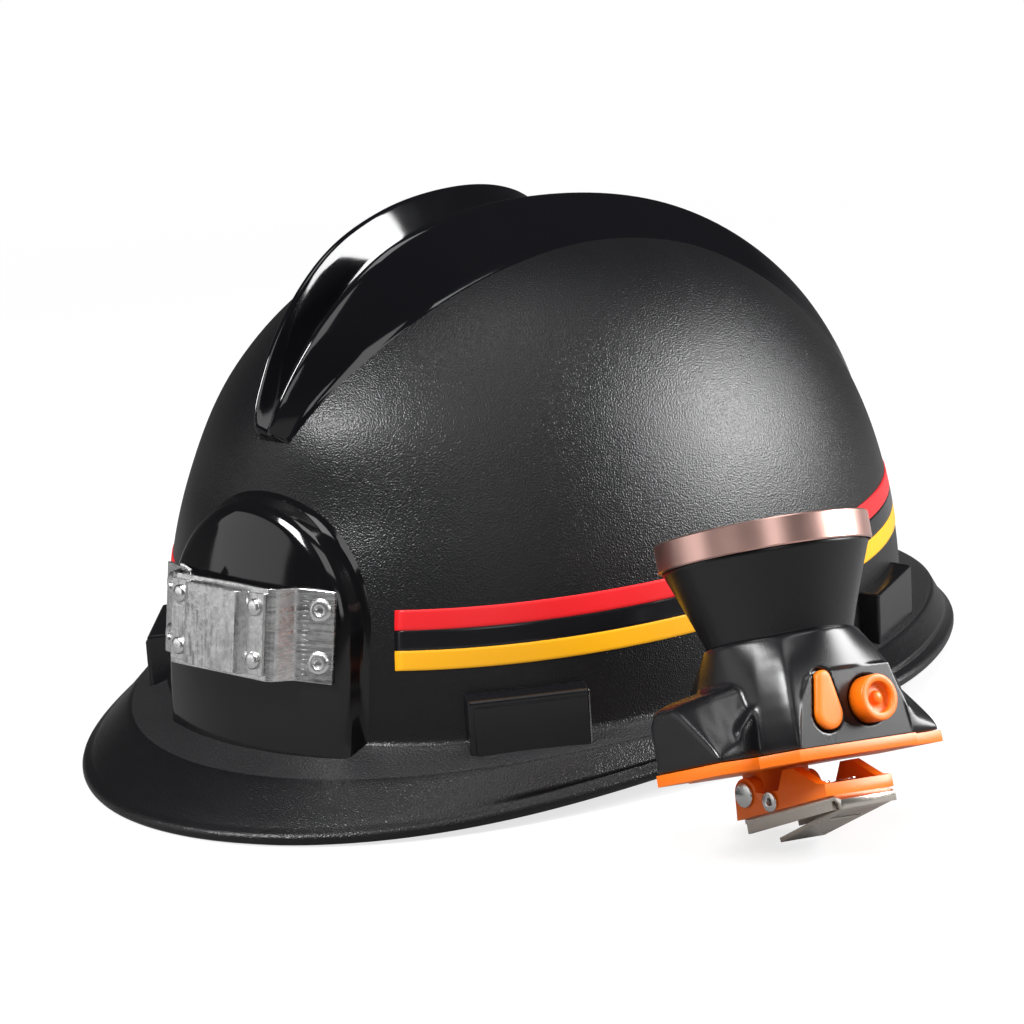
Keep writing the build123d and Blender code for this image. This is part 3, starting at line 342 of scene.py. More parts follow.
shell = mesh_piece("shell_body", points, faces, [sand_grain, band_grain_and_painted_light, inside_satin],
                   "helmet", "shell_black", ["shell"])
shell.data.polygons.foreach_set("material_index", kinds)


# Ridges: two thin-crested ribs of the same moulding, polished in the tool. They start from one
# blunt nose over the pad, part over the crown and die out at the rear. Each knot gives the place
# in degrees over the crown, the sideways places of outer foot, crest and inner foot, and the height.
ridge_reach, ridge_height = 36.0, 13.5
ridge_knots = np.array((
    (39.1, 0.13, 0.06, -0.14, -0.03), (39.4, 0.145, 0.065, -0.14, 0.20), (39.9, 0.155, 0.07, -0.13, 0.32),
    (41.0, 0.19, 0.09, -0.08, 0.40), (46.0, 0.31, 0.14, -0.02, 0.60),
    (54.0, 0.48, 0.20, 0.05, 0.83), (63.0, 0.62, 0.25, 0.12, 1.0),
    (74.0, 0.74, 0.33, 0.20, 0.95), (88.0, 0.86, 0.49, 0.35, 0.76), (102.0, 1.06, 0.72, 0.57, 0.57),
    (118.0, 1.36, 1.03, 0.89, 0.36), (134.0, 1.47, 1.25, 1.14, 0.21), (150.0, 1.44, 1.33, 1.26, 0.06),
    (154.0, 1.42, 1.34, 1.29, -0.04)))


def smooth_through(knots, values, at):
    """A smooth curve through the knots, read at one place."""
    k = int(np.clip(np.searchsorted(knots, at) - 1, 0, len(knots) - 2))
    slopes = np.gradient(values, knots, axis=0)
    span = knots[k + 1] - knots[k]
    t = (at - knots[k]) / span
    return ((2 * t ** 3 - 3 * t ** 2 + 1) * values[k] + (t ** 3 - 2 * t ** 2 + t) * span * slopes[k]
            + (3 * t ** 2 - 2 * t ** 3) * values[k + 1] + (t ** 3 - t ** 2) * span * slopes[k + 1])


def dome_distance(side, angle):
    """From the ear to ear axis out to the dome, at one sideways place and angle."""
    near, far = 0.0, dome_half_length + dome_crown
    for _ in range(40):
        middle = (near + far) / 2
        rise = middle * math.sin(angle) / (dome_crown - dome_foot)
        left = max(1 - max(rise, 0) ** dome_power, 0) ** (1 / dome_power)
        if math.hypot(side / dome_half_width, middle * math.cos(angle) / dome_half_length) < left:
            near = middle
        else:
            far = middle
    return near


def ridge_profile(outer, crest, inner, height, angle):
    """One section from the outer foot over the crest to the inner foot, as side and distance."""
    height = max(height, -0.4)
    foot_flare = min(1.0, max(height, 0) / 3)
    top = np.array((crest, dome_distance(crest, angle) + height))
    line = []
    for foot, way, steps, full in ((outer, 1, 9, 0.15), (inner, -1, 6, -0.25)):
        base, root, skirt, rim_point = [
            np.array((foot + way * out, dome_distance(foot + way * out, angle) + lift))
            for out, lift in ((0, 0), (1.9, -1.5), (1.5, -0.12), (0.6, 0.14 * foot_flare))]
        along = top - base
        across = np.array((along[1], -along[0])) * way / max(np.hypot(*along), 0.001)
        flank = [base + along * t + across * full * foot_flare * math.sin(math.pi * t)
                 for t in np.linspace(0.09, 0.80, steps)]
        line.append([root, skirt, rim_point] + flank)
    from_side, to_side = line[0][-1], line[1][-1]
    over = []
    for t in np.linspace(0.14, 0.86, 7):
        over.append((1 - t) ** 2 * from_side + 2 * t * (1 - t) * top + t ** 2 * to_side)
    return line[0] + over + line[1][::-1]


gloss_black = moulding("gloss_black", (0.0035, 0.0035, 0.0045), 0.085, 9.0, 0.05, mottle=0.03, detail=1.0)
for side_name, side in (("left", 1), ("right", -1)):
    ribs = []
    sections = np.concatenate([np.linspace(39.1, 40.6, 9), np.linspace(41.0, 154.0, 84)])
    for degrees in sections:
        shares = smooth_through(ridge_knots[:, 0], ridge_knots[:, 1:], degrees)
        angle = math.radians(degrees)
        row = ridge_profile(*(shares[:3] * ridge_reach), shares[3] * ridge_height, angle)
        ribs.append([(side * x, -r * math.cos(angle), dome_foot + r * math.sin(angle)) for x, r in row])
    faces = rows_of(len(ribs), len(ribs[0])) + end_faces(len(ribs), len(ribs[0]))
    mesh_piece("ridge_" + side_name, brow(np.concatenate(ribs)), faces, [gloss_black],
               "helmet", "shell_black", ["shell"])


# Lamp pad: a raised, polished panel with a round top and rolled edges, moulded on the front of
# the shell to carry the bracket.
pad_half_width, pad_arch = 33.8, 46.0
pad_rise, pad_crown_rise = 6.0, 9.0
pad_roll, pad_roll_fade = 3.6, 6.0
pad_foot = 12.2
pad_inner_rings, pad_edge_rings = np.linspace(31, 5, 14), (4.2, 3.6, 3.0, 2.4, 1.8, 1.2, 0.7, 0.3, 0.05)
pad_side_rings = ((0.25, 0.45), (0.6, 0.72), (1.0, 0.90), (1.7, 0.985), (2.2, 1.15))
pad_back_foot, pad_sink = 16.0, 1.4


def wall_front(side, height, rise=0.0, crown_rise=0.0):
    """The place along Y of the dome's front, or of a front that stands off it."""
    up = np.clip((height - dome_foot) / (dome_crown + crown_rise - dome_foot), 0, 1)
    level = (1 - up ** dome_power) ** (1 / dome_power)
    left = np.maximum(level ** 2 - (side / (dome_half_width + rise)) ** 2, 0.0001)
    return -(dome_half_length + rise) * np.sqrt(left)


def pad_front(side, height):
    """The place along Y of the pad's face."""
    return wall_front(side, height, pad_rise, pad_crown_rise)


outline = [(pad_half_width, z) for z in np.linspace(pad_foot, pad_arch, 22)[:-1]]
outline += [(pad_half_width * math.cos(t), pad_arch + pad_half_width * math.sin(t))
            for t in np.linspace(0, math.pi, 61)]
outline += [(-pad_half_width, z) for z in np.linspace(pad_arch, pad_foot, 22)[1:]]
outline += [(x, pad_foot) for x in np.linspace(-pad_half_width, pad_half_width, 44)[1:-1]]
outline = np.array(outline)
pad_middle = np.array((0.0, pad_arch))
spokes = outline - pad_middle
lengths = np.hypot(*spokes.T)[:, None]
ways = spokes / lengths
ring_rows = []


def lay_pad_ring(flat, depth):
    """One ring of the pad, from its places on the front and how far back each lies."""
    ring_rows.append(np.stack([flat[:, 0], depth, flat[:, 1]], -1))


for inset in [*pad_inner_rings, *pad_edge_rings]:
    drawn_in = inset / lengths * (lengths / pad_half_width if inset > 5 else 1)
    flat = pad_middle + spokes * np.maximum(1 - drawn_in, 0.02)
    drop = pad_roll - math.sqrt(max(pad_roll ** 2 - max(pad_roll - inset, 0) ** 2, 0))
    rolled = np.clip((outline[:, 1] - pad_foot) / pad_roll_fade, 0, 1)
    lay_pad_ring(flat, pad_front(*flat.T) + drop * 0.8 * rolled)
for out, share in pad_side_rings:
    flat = pad_middle + spokes + ways * out
    flat[:, 1] = np.maximum(flat[:, 1], pad_foot)
    face = pad_front(*flat.T) + pad_roll * 0.8 * rolled
    lay_pad_ring(flat, face + np.maximum(wall_front(*flat.T) - face, 0.3) * share)
flat = pad_middle + spokes * 0.9
flat[:, 1] = np.maximum(flat[:, 1], pad_back_foot)
lay_pad_ring(flat, wall_front(*flat.T) + pad_sink)
count = len(outline)
faces = rows_of(len(ring_rows), count)
middle_back = wall_front(0, pad_arch) + pad_sink
points = np.concatenate(ring_rows + [[[0, pad_front(0, pad_arch), pad_arch], [0, middle_back, pad_arch]]])
faces += fan_faces((len(ring_rows) - 1) * count, count, len(points) - 2, len(points) - 1)
pad_gloss = moulding("pad_gloss", (0.004, 0.004, 0.0045), 0.10, 7.0, 0.03, mottle=0.04, detail=1.0)
mesh_piece("lamp_pad", brow(points), faces, [pad_gloss], "helmet", "shell_black", ["shell"])


# Lugs: four polished blocks on the wall, moulded hollow so that the liner's keys push up into
# them from below. The front two have a thin plate on their faces.
lug_angles = (51.4, 108.0, -108.0, -51.4)
lug_length, lug_rise, lug_foot, lug_top = 33.0, 4.6, 11.0, 30.8
lug_root, lug_slope = 3.6, 0.9
plate_thick = 0.55


def brick(low, high, roll, cut=0.0):
    """A block with rolled edges and a sloping top, as a bmesh in mm."""
    work = bmesh.new()
    bmesh.ops.create_cube(work, size=1.0)
    for corner in work.verts:
        for axis in range(3):
            corner.co[axis] = low[axis] if corner.co[axis] < 0 else high[axis]
        if corner.co[2] > (low[2] + high[2]) / 2 and corner.co[0] > (low[0] + high[0]) / 2:
            corner.co[2] -= cut
    bmesh.ops.bevel(work, geom=work.edges[:], offset=roll, segments=3, profile=0.5, affect="EDGES")
    return work


def gather(works):
    """Points and faces of several bmeshes, each with its own placement."""
    points, faces = [], []
    for work, placement in works:
        work.verts.index_update()
        start = len(points)
        points += [tuple(placement @ v.co) for v in work.verts]
        faces += [tuple(start + v.index for v in f.verts) for f in work.faces]
        work.free()
    return points, faces


def lug_frame(degrees):
    """The wall's tangent point for one direction, with X outwards."""
    across = dome_half_width * math.sin(math.radians(degrees))
    along = dome_half_length * math.cos(math.radians(degrees))
    reach = math.hypot(across, along)
    spot = (dome_half_width * across / reach, -dome_half_length * along / reach, 0)
    return Matrix.Translation(spot) @ Matrix.Rotation(math.radians(degrees - 90), 4, "Z")


lug_parts = []
for degrees in lug_angles:
    block = brick((-lug_root, -lug_length / 2, lug_foot), (lug_rise, lug_length / 2, lug_top), 0.8, lug_slope)
    lug_parts.append((block, lug_frame(degrees)))
    if abs(degrees) < 90:
        plate = brick((lug_rise - 1.0, -lug_length / 2 + 1.6, lug_foot + 0.4),
                      (lug_rise + plate_thick, lug_length / 2 - 0.4, lug_top - 2.4), 0.5)
        lug_parts.append((plate, lug_frame(degrees)))
lug_gloss = moulding("lug_gloss", (0.005, 0.005, 0.006), 0.16, 3.0, 0.02, mottle=0.05)
mesh_piece("lugs", *gather(lug_parts), [lug_gloss], "helmet", "shell_black", ["shell"], smooth=False)


# Stripes: three strips of adhesive film on each side, red over black over amber, laid round the
# wall above the lugs. Their ends are cut square.
stripe_width, stripe_base = 5.3, 37.4
film_lift, film_edge, film_sink = 0.28, 0.18, -0.3
stripe_first, stripe_last = math.radians(21.0), math.radians(160.0)
film_finishes = {
    "yellow": moulding("amber_film", (0.86, 0.40, 0.004), 0.38, 1.2, 0.02),
    "black": moulding("black_film", (0.005, 0.005, 0.006), 0.22, 1.2, 0.015),
    "red": moulding("red_film", (0.70, 0.009, 0.013), 0.38, 1.2, 0.02),
}


def on_dome(turn, height, lift):
    """A point on the dome's wall, a little way off its surface."""
    level = (1 - ((height - dome_foot) / (dome_crown - dome_foot)) ** dome_power) ** (1 / dome_power)
    reach = ellipse_reach(dome_half_width, dome_half_length, turn) * level + lift
    return (reach * math.sin(turn), -reach * math.cos(turn), height)


for row, colour in enumerate(("yellow", "black", "red")):
    for side_name, side in (("left", 1), ("right", -1)):
        foot = stripe_base + row * stripe_width
        line = [(0.0, film_sink), (0.0, film_edge), (0.12, film_lift)]
        line += [(t, film_lift) for t in np.linspace(0.8, stripe_width - 0.8, 4)]
        line += [(stripe_width - 0.12, film_lift), (stripe_width, film_edge), (stripe_width, film_sink)]
        turns = np.linspace(stripe_first, stripe_last, 110)
        points = [on_dome(side * turn, foot + up, lift) for turn in turns for up, lift in line]
        faces = rows_of(len(turns), len(line)) + end_faces(len(turns), len(line))
        mesh_piece(f"stripe_{colour}_{side_name}", points, faces, [film_finishes[colour]],
                   "helmet", f"{colour}_film", [f"{colour}_stripe_{side_name}"])


# Lamp bracket: a strip of aluminium bent to stand off the pad, with a shallow hat of thinner
# sheet over it. Both are sheared and folded, and their surfaces are rolled and scuffed.
bracket_lean = math.radians(9.0)
bracket_middle = 48.7
wing_start, wing_fold, wing_end = 18.2, 20.6, 31.2
bracket_stand, bracket_thick, bracket_seat = 6.2, 1.2, 0.4
bracket_height, bracket_bend = 24.8, 1.6
tick_count, tick_pitch, tick_lengths = 17, 1.30, (1.0, 1.7)
cover_thick, cover_height, cover_bend, cover_rise = 0.9, 22.0, 0.7, 2.7
lean_cos, lean_sin = math.cos(bracket_lean), math.sin(bracket_lean)
bracket_frame = Matrix(((1, 0, 0, 0),
                        (0, lean_cos, lean_sin, float(pad_front(0, bracket_middle))),
                        (0, -lean_sin, lean_cos, bracket_middle),
                        (0, 0, 0, 1)))


def sheet_metal(name, colour, rough, way, wear):
    """Bare metal with rolling lines along one axis, scuffs and small dents."""
    finish = moulding(name, colour, rough, 2.2, 0.05, mottle=0.08, metal=1.0)
    web = finish.node_tree
    skin, place = web.nodes["Principled BSDF"], web.nodes["Texture Coordinate"]
    stretch = add(web, "Mapping", {"Scale": way})
    lines = add(web, "TexNoise", {"Scale": 1.0, "Detail": 5})
    scuffs = add(web, "TexNoise", {"Scale": 260, "Detail": 6, "Roughness": 0.7, "Distortion": 1.5})
    tone = add(web, "MapRange", {"From Min": 0.35, "From Max": 0.65, "To Min": 1.0 - wear, "To Max": 1.0})
    tint = add(web, "Mix", {"Factor": 1.0, 6: (*colour, 1)}, data_type="RGBA", blend_type="MULTIPLY")
    both = add(web, "Math", operation="ADD")
    drag = add(web, "MapRange", {"From Min": 0.3, "From Max": 0.7,
                                 "To Min": -wear * 0.35, "To Max": wear * 0.35})
    wire(web, (place, "Object", stretch, "Vector"), (stretch, 0, lines, "Vector"),
         (place, "Object", scuffs, "Vector"), (scuffs, "Fac", tone, "Value"), (tone, 0, tint, 7),
         (tint, 2, skin, "Base Color"), (lines, "Fac", drag, "Value"),
         (web.nodes["Map Range"], 0, both, 0), (drag, 0, both, 1), (both, 0, skin, "Roughness"))
    return finish


def folded_strip(line, thick, height, roll):
    """A strip of sheet from its inner line in plan, with rounded folds and broken edges."""
    line = [Vector((*p, 0)) for p in line]
    bent = [line[0]]
    for k in range(1, len(line) - 1):
        before, after = line[k - 1] - line[k], line[k + 1] - line[k]
        reach = min(roll, before.length * 0.45, after.length * 0.45)
        start, end = line[k] + before.normalized() * reach, line[k] + after.normalized() * reach
        bent += [start * (1 - t) ** 2 + line[k] * (2 * t * (1 - t)) + end * t ** 2
                 for t in (0, 0.25, 0.5, 0.75, 1)]
    bent.append(line[-1])
    outer = []
    for k, p in enumerate(bent):
        way = (bent[min(k + 1, len(bent) - 1)] - bent[max(k - 1, 0)]).normalized()
        outer.append(p + Vector((way.y, -way.x, 0)) * thick)
    work = bmesh.new()
    section = [work.verts.new((p.x, p.y, -height / 2)) for p in bent + outer[::-1]]
    count = len(bent)
    caps = [work.faces.new((section[k], section[k + 1],
                            section[2 * count - 2 - k], section[2 * count - 1 - k]))
            for k in range(count - 1)]
    raised = bmesh.ops.extrude_face_region(work, geom=caps)["geom"]
    raised = [part for part in raised if isinstance(part, bmesh.types.BMVert)]
    bmesh.ops.translate(work, verts=raised, vec=(0, 0, height))
    bmesh.ops.recalc_face_normals(work, faces=work.faces)
    sharp = [e for e in work.edges if len(e.link_faces) == 2 and e.calc_face_angle() > 1.2]
    bmesh.ops.bevel(work, geom=sharp, offset=0.16, segments=2, profile=0.5, affect="EDGES")
    return work


def wing_depth(side):
    """How far back the pad's face lies at one side, seen from the bracket."""
    return float(pad_front(side, bracket_middle) - pad_front(0, bracket_middle)) * math.cos(bracket_lean)


wing = [(wing_start, -bracket_stand + bracket_thick), (wing_fold, wing_depth(wing_fold) - bracket_seat),
        (wing_end, wing_depth(wing_end) - bracket_seat)]
base_line = [(-a, d) for a, d in reversed(wing)] + wing
wing_way = (Vector(wing[2]) - Vector(wing[1])).normalized()
wing_turn = math.atan2(wing_way.y, wing_way.x)
bracket_works = [(folded_strip(base_line, bracket_thick, bracket_height, bracket_bend), bracket_frame)]
for tick in range(tick_count):
    up = (tick - tick_count // 2) * tick_pitch
    long = tick_lengths[tick % 2]
    at = Vector(wing[1]) + wing_way * (2.1 + long / 2)
    mark = brick((-long / 2, -0.16, -0.13), (long / 2, 0.10, 0.13), 0.05)
    turn = Matrix.Rotation(wing_turn, 4, "Z")
    spot = Matrix.Translation((at.x + wing_way.y * bracket_thick, at.y - wing_way.x * bracket_thick, up))
    bracket_works.append((mark, bracket_frame @ spot @ turn))
tab = brick((-1.4, -0.5, -1.3), (1.9, 0.5, 1.9), 0.2, 1.6)
bracket_works.append((tab, bracket_frame @ Matrix.Translation((-14.0, -bracket_stand + 1.0, 13.2))
                      @ Matrix.Rotation(0.5, 4, "X")))
bracket_sheet = sheet_metal("rolled_aluminium", (0.88, 0.88, 0.88), 0.26, (60, 60, 1500), 0.30)
mesh_piece("bracket_strip", *gather(bracket_works), [bracket_sheet], "helmet", "sheet_aluminium",
           ["bracket_base"], smooth=False)
flange = [(9.3, -bracket_stand - cover_rise), (11.0, -bracket_stand - 0.03), (17.3, -bracket_stand - 0.03)]
cover_line = [(-a, d) for a, d in reversed(flange)] + flange
cover_sheet = sheet_metal("scuffed_aluminium", (0.80, 0.80, 0.80), 0.27, (900, 900, 60), 0.30)
hat = folded_strip(cover_line, cover_thick, cover_height, cover_bend)
mesh_piece("bracket_hat", *gather([(hat, bracket_frame)]),
           [cover_sheet], "helmet", "sheet_aluminium", ["bracket_cover"], smooth=False)


# Bracket fasteners: four solid rivets with upset heads through the hat, and four tubular rivets
# whose rolled heads hold the strip's wings to the shell.
rivet_across, eyelet_across, fastener_up = 14.0, 27.4, 7.1


def turned_form(line, spokes=40):
    """A solid of revolution about Z from its outline as reach and height."""
    points = []
    for reach, height in line:
        points += [(reach * math.cos(t), reach * math.sin(t), height)
                   for t in np.linspace(0, 2 * math.pi, spokes, endpoint=False)]
    faces = rows_of(len(line), spokes)
    if line[0] != line[-1]:
        faces += [face[::-1] for face in end_faces(len(line), spokes)]
    return points, faces


def set_of(form, placements):
    """One form repeated at several placements."""
    points, faces = [], []
    for placement in placements:
        start = len(points)
        points += [tuple(placement @ Vector(p)) for p in form[0]]
        faces += [tuple(start + k for k in face) for face in form[1]]
    return points, faces


facing_out = Matrix.Rotation(math.pi / 2, 4, "X")
rivet_spots = [bracket_frame
               @ Matrix.Translation((side * rivet_across, -bracket_stand - cover_thick, up * fastener_up))
               @ facing_out for side in (-1, 1) for up in (-1, 1)]
rivet_form = turned_form([(1.5, -6.2), (1.5, 0.0), (2.35, 0.02), (2.42, 0.35), (2.3, 0.75), (1.95, 1.02),
                          (0.9, 1.12), (0.1, 1.13)])
rivet_metal = moulding("rivet_metal", (0.80, 0.80, 0.80), 0.26, 1.4, 0.06, mottle=0.07, metal=1.0)
mesh_piece("bracket_rivet_heads", *set_of(rivet_form, rivet_spots), [rivet_metal], "helmet",
           "rivet_aluminium", ["bracket_rivets"])
eyelet_spots = []
at = Vector(wing[1]) + wing_way * ((eyelet_across - wing[1][0]) / wing_way.x)
for side in (-1, 1):
    for up in (-1, 1):
        spot = Matrix.Translation((side * (at.x + wing_way.y * bracket_thick),
                                   at.y - wing_way.x * bracket_thick, up * fastener_up))
        eyelet_spots.append(bracket_frame @ spot @ Matrix.Rotation(side * wing_turn, 4, "Z") @ facing_out)
eyelet_form = turned_form([(0.85, -5.0), (1.55, -5.0), (1.55, 0.0), (3.1, 0.02), (3.2, 0.28), (3.0, 0.55),
                           (2.5, 0.75), (1.7, 0.86), (1.2, 0.72), (0.85, 0.1), (0.85, -5.0)])
mesh_piece("bracket_eyelet_heads", *set_of(eyelet_form, eyelet_spots), [rivet_metal], "helmet",
           "rivet_aluminium", ["bracket_eyelets"])


# Liner: a moulded band with a ratchet at the nape and a cradle of four arched straps, all in satin
# plastic, keyed into the shell's lugs. These pieces keep their drawn shapes with eased edges.
sharp_edge, weld_gap, flat_angle = 0.5, 0.000002, 0.012
liner_ease = 0.25


def eased(name, source, finish, body, ease, local=None):
    """A drawn piece with its edges broken, as a new piece that stands for it."""
    work = bmesh.new()
    work.from_mesh(nodes[source].data)
    if local is not None:
        work.transform(local.inverted())
    bmesh.ops.remove_doubles(work, verts=work.verts[:], dist=weld_gap)
    bmesh.ops.dissolve_limit(work, angle_limit=flat_angle, verts=work.verts[:], edges=work.edges[:])
    sharp = [e for e in work.edges if len(e.link_faces) == 2 and e.calc_face_angle() > sharp_edge]
    bmesh.ops.bevel(work, geom=sharp, offset=ease * MM, offset_type="OFFSET", segments=2, profile=0.5,
                    affect="EDGES", clamp_overlap=True)
    shape = bpy.data.meshes.new(name)
    work.to_mesh(shape)
    work.free()
    piece = placed(name, shape)
    shape.shade_smooth()
    shape.set_sharp_from_angle(angle=math.radians(34))
    shape.materials.append(finish)
    if local is not None:
        piece.matrix_world = local
    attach(piece, body)
    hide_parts(source)


band_satin = moulding("band_satin", (0.022, 0.022, 0.024), 0.42, 0.8, 0.03)
cradle_satin = moulding("cradle_satin", (0.42, 0.43, 0.44), 0.46, 0.9, 0.04)
band, web = (band_satin, "band_plastic"), (cradle_satin, "cradle_plastic")
for node, body, (finish, slot) in (("headband", "helmet", band), ("cradle", "helmet", web),
                                   ("cradle_keys", "helmet", band), ("nape_housing", "helmet", band),
                                   ("nape_cover", "helmet", band), ("nape_pinion", "nape_knob", web),
                                   ("nape_knob", "nape_knob", band)):
    eased("liner_" + node, node, finish, body, liner_ease)


# Sweatband: a strip of foam in brushed cloth, clipped inside the front of the band. It is soft,
# so it swells a little between its seams.
sweat_low, sweat_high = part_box("sweatband")
band_half_width, band_half_length = 82.0, 99.0
sweat_skin, sweat_thick, sweat_inset = 2.1, 3.0, 0.15
sweat_turn = math.radians(78.0)
sweat_trim, sweat_end_trim, sweat_bulge = 0.8, 0.985, 1.05
cloth_stretch, puff_frames = 40, 20
puff_voxel, puff_pressure, puff_limit = 1.6, 4.0, 0.55


def sweat_form():
    """The strip's starting shape, a little thinner than its space, as rings along the band."""
    rows = []
    turns = np.linspace(-sweat_turn * sweat_end_trim, sweat_turn * sweat_end_trim, 120)
    low, high = sweat_low.z / MM + sweat_trim, sweat_high.z / MM - sweat_trim
    for turn in turns:
        ring = []
        for t in np.linspace(0, 2 * math.pi, 28, endpoint=False):
            up = math.copysign(abs(math.sin(t)) ** 0.35, math.sin(t))
            out = math.copysign(abs(math.cos(t)) ** 0.6, math.cos(t))
            reach = ellipse_reach(band_half_width - sweat_skin - sweat_thick / 2 - sweat_inset,
                                  band_half_length - sweat_skin - sweat_thick / 2 - sweat_inset, turn)
            reach += out * sweat_bulge
            ring.append((reach * math.sin(turn), -reach * math.cos(turn),
                         (low + high) / 2 + up * (high - low) / 2))
        rows.append(ring)
    return np.concatenate(rows), rows_of(len(rows), len(rows[0])) + end_faces(len(rows), len(rows[0]))


def swollen(piece, voxel, pressure, cap):
    """The piece puffed by a short cloth run, with no point moved further than cap."""
    remesh = piece.modifiers.new("even", "REMESH")
    remesh.mode = "VOXEL"
    remesh.voxel_size = voxel * MM
    view = bpy.context.evaluated_depsgraph_get()
    even = bpy.data.meshes.new_from_object(piece.evaluated_get(view))
    piece.modifiers.clear()
    piece.data = even
    start = np.array([v.co for v in even.vertices])
    cloth = piece.modifiers.new("puff", "CLOTH")
    cloth.settings.use_pressure = True
    cloth.settings.uniform_pressure_force = pressure
    cloth.settings.effector_weights.gravity = 0
    cloth.settings.tension_stiffness = cloth_stretch
    cloth.point_cache.frame_start, cloth.point_cache.frame_end = 1, puff_frames
    for step in range(1, puff_frames + 1):
        scene.frame_set(step)
    view = bpy.context.evaluated_depsgraph_get()
    puffed = np.array([v.co for v in piece.evaluated_get(view).data.vertices])
    piece.modifiers.clear()
    scene.frame_set(1)
    move = puffed - start
    far = np.linalg.norm(move, axis=1, keepdims=True)
    settled = start + move * np.minimum(1, cap * MM / np.maximum(far, 1e-9))
    even.vertices.foreach_set("co", settled.astype(np.float32).ravel())
    even.update()


cloth_weave = moulding("brushed_cloth", (0.035, 0.035, 0.042), 0.86, 0.45, 0.16, mottle=0.04, detail=4.0)
cloth_weave.node_tree.nodes["Principled BSDF"].inputs["Sheen Weight"].default_value = 0.35
sweat = mesh_piece("sweat_pad", *sweat_form(), [cloth_weave], "helmet", "sweat_cloth", ["sweatband"])
swollen(sweat, puff_voxel, puff_pressure, puff_limit)
sweat.data.shade_smooth()
if not sweat.data.materials:
    sweat.data.materials.append(cloth_weave)
rounding = sweat.modifiers.new("round", "SUBSURF")
rounding.levels = rounding.render_levels = 1


# Lamp housing: one satin black moulding. A stepped block with a control panel in front and a
# rounded hump at each end rises to a neck, and a cone stands in the neck and carries the bezel.
lamp_turn = (math.radians(-11.8), math.radians(-18.3), math.radians(76.0))
lamp_spot = Vector((149.4, -76.0, 20.7)) * MM
lamp_axes = (Matrix.Rotation(lamp_turn[0], 4, "X") @ Matrix.Rotation(lamp_turn[1], 4, "Y")
             @ Matrix.Rotation(lamp_turn[2], 4, "Z"))
lamp_frame = Matrix.Translation(lamp_spot) @ lamp_axes


def loft_block(sections):
    """A closed block through sections with one number of corners, as a bmesh in mm."""
    work = bmesh.new()
    rows = [[work.verts.new(place) for place in section] for section in sections]
    count = len(rows[0])
    for low, high in zip(rows, rows[1:]):
        for k in range(count):
            n = (k + 1) % count
            work.faces.new((low[k], low[n], high[n], high[k]))
    work.faces.new(rows[0][::-1])
    work.faces.new(rows[-1])
    return work


body_foot = np.array(((19.2, -22.5), (23.2, -12.9), (23.2, 12.9), (19.2, 22.5),
                      (-19.2, 22.5), (-23.2, 12.9), (-23.2, -12.9), (-19.2, -22.5)))
block_foot, block_top, neck_reach = 3.0, 32.0, 19.9
hump_start, hump_end, hump_front = 14.0, 36.3, 12.9
housing_voxel, housing_rounds = 0.42, 20


def body_plan(height):
    """The block's plan at one height: eight-sided at its foot and nearly round at the neck."""
    t = min(max((height - block_foot) / (block_top - block_foot), 0), 1)
    places = []
    for turn in np.linspace(0, 2 * math.pi, 72, endpoint=False):
        way = np.array((math.cos(turn), math.sin(turn)))
        reach = 1e9
        for k in range(8):
            a, b = body_foot[k], body_foot[(k + 1) % 8]
            across = np.array((b[1] - a[1], a[0] - b[0]))
            if abs(way @ across) > 1e-6 and (a @ across) / (way @ across) > 0:
                reach = min(reach, (a @ across) / (way @ across))
        neck = neck_reach + 0.6 * math.cos(4 * turn)
        share = t ** (1.15 + 1.1 * abs(way[1]))
        reach = reach + (neck - reach) * share + 0.7 * abs(way[1]) * math.sin(math.pi * t)
        places.append((*(way * reach), height))
    return places


def hump(side):
    """One end hump: its crest is high beside the block and rolls down to the end face."""
    profiles = ((hump_start, 21.0, 22.6, -12.4), (18.0, 21.4, 22.4, -12.6), (23.0, 20.6, 21.6, -12.7),
                (28.0, 19.8, 20.8, -12.8), (32.5, 18.2, 19.8, -12.9), (hump_end, 15.6, 18.4, -12.9))
    sections = []
    for x, shoulder, crest, front in profiles:
        share = (x - hump_start) / (hump_end - hump_start)
        slope_foot, lead = 15.0 - 10.0 * share, -9.0 + 11.5 * share
        line = [(hump_front, block_foot), (hump_front, shoulder - 1.0), (10.0, crest),
                (max(lead, -6.0), crest - 0.4), (lead - 2.5, crest - 2.0), (front + 1.6, slope_foot + 1.0),
                (front, slope_foot - 1.4), (front, block_foot)]
        sections.append([(side * x, y, z) for y, z in line])
    return loft_block(sections)


def side_block(side):
    """The flat-fronted shoulder between the block and the hump."""
    levels = ((block_foot, -12.9, 31.5, 31.5), (10.0, -12.9, 28.5, 29.5), (14.8, -12.3, 23.0, 25.5))
    return loft_block([[(side * 17.0, front, height), (side * front_end, front, height),
                        (side * rear_end, 0.0, height), (side * 17.0, 0.0, height)]
                       for height, front, front_end, rear_end in levels])


heights = (block_foot, 6.0, 10.0, 14.0, 18.0, 22.0, 26.0, 29.0, block_top)
lamp_body = [loft_block([body_plan(height) for height in heights])]
for side in (-1, 1):
    lamp_body += [hump(side), side_block(side)]
points, faces = gather([(block, Matrix()) for block in lamp_body])
rough_shape = bpy.data.meshes.new("lamp_body")
rough_shape.from_pydata([tuple(Vector(p) * MM) for p in points], [], faces)
outward(rough_shape)
housing = placed("lamp_body", rough_shape)
even = housing.modifiers.new("even", "REMESH")
even.mode = "VOXEL"
even.voxel_size = housing_voxel * MM
view = bpy.context.evaluated_depsgraph_get()
housing.data = bpy.data.meshes.new_from_object(housing.evaluated_get(view))
housing.modifiers.clear()

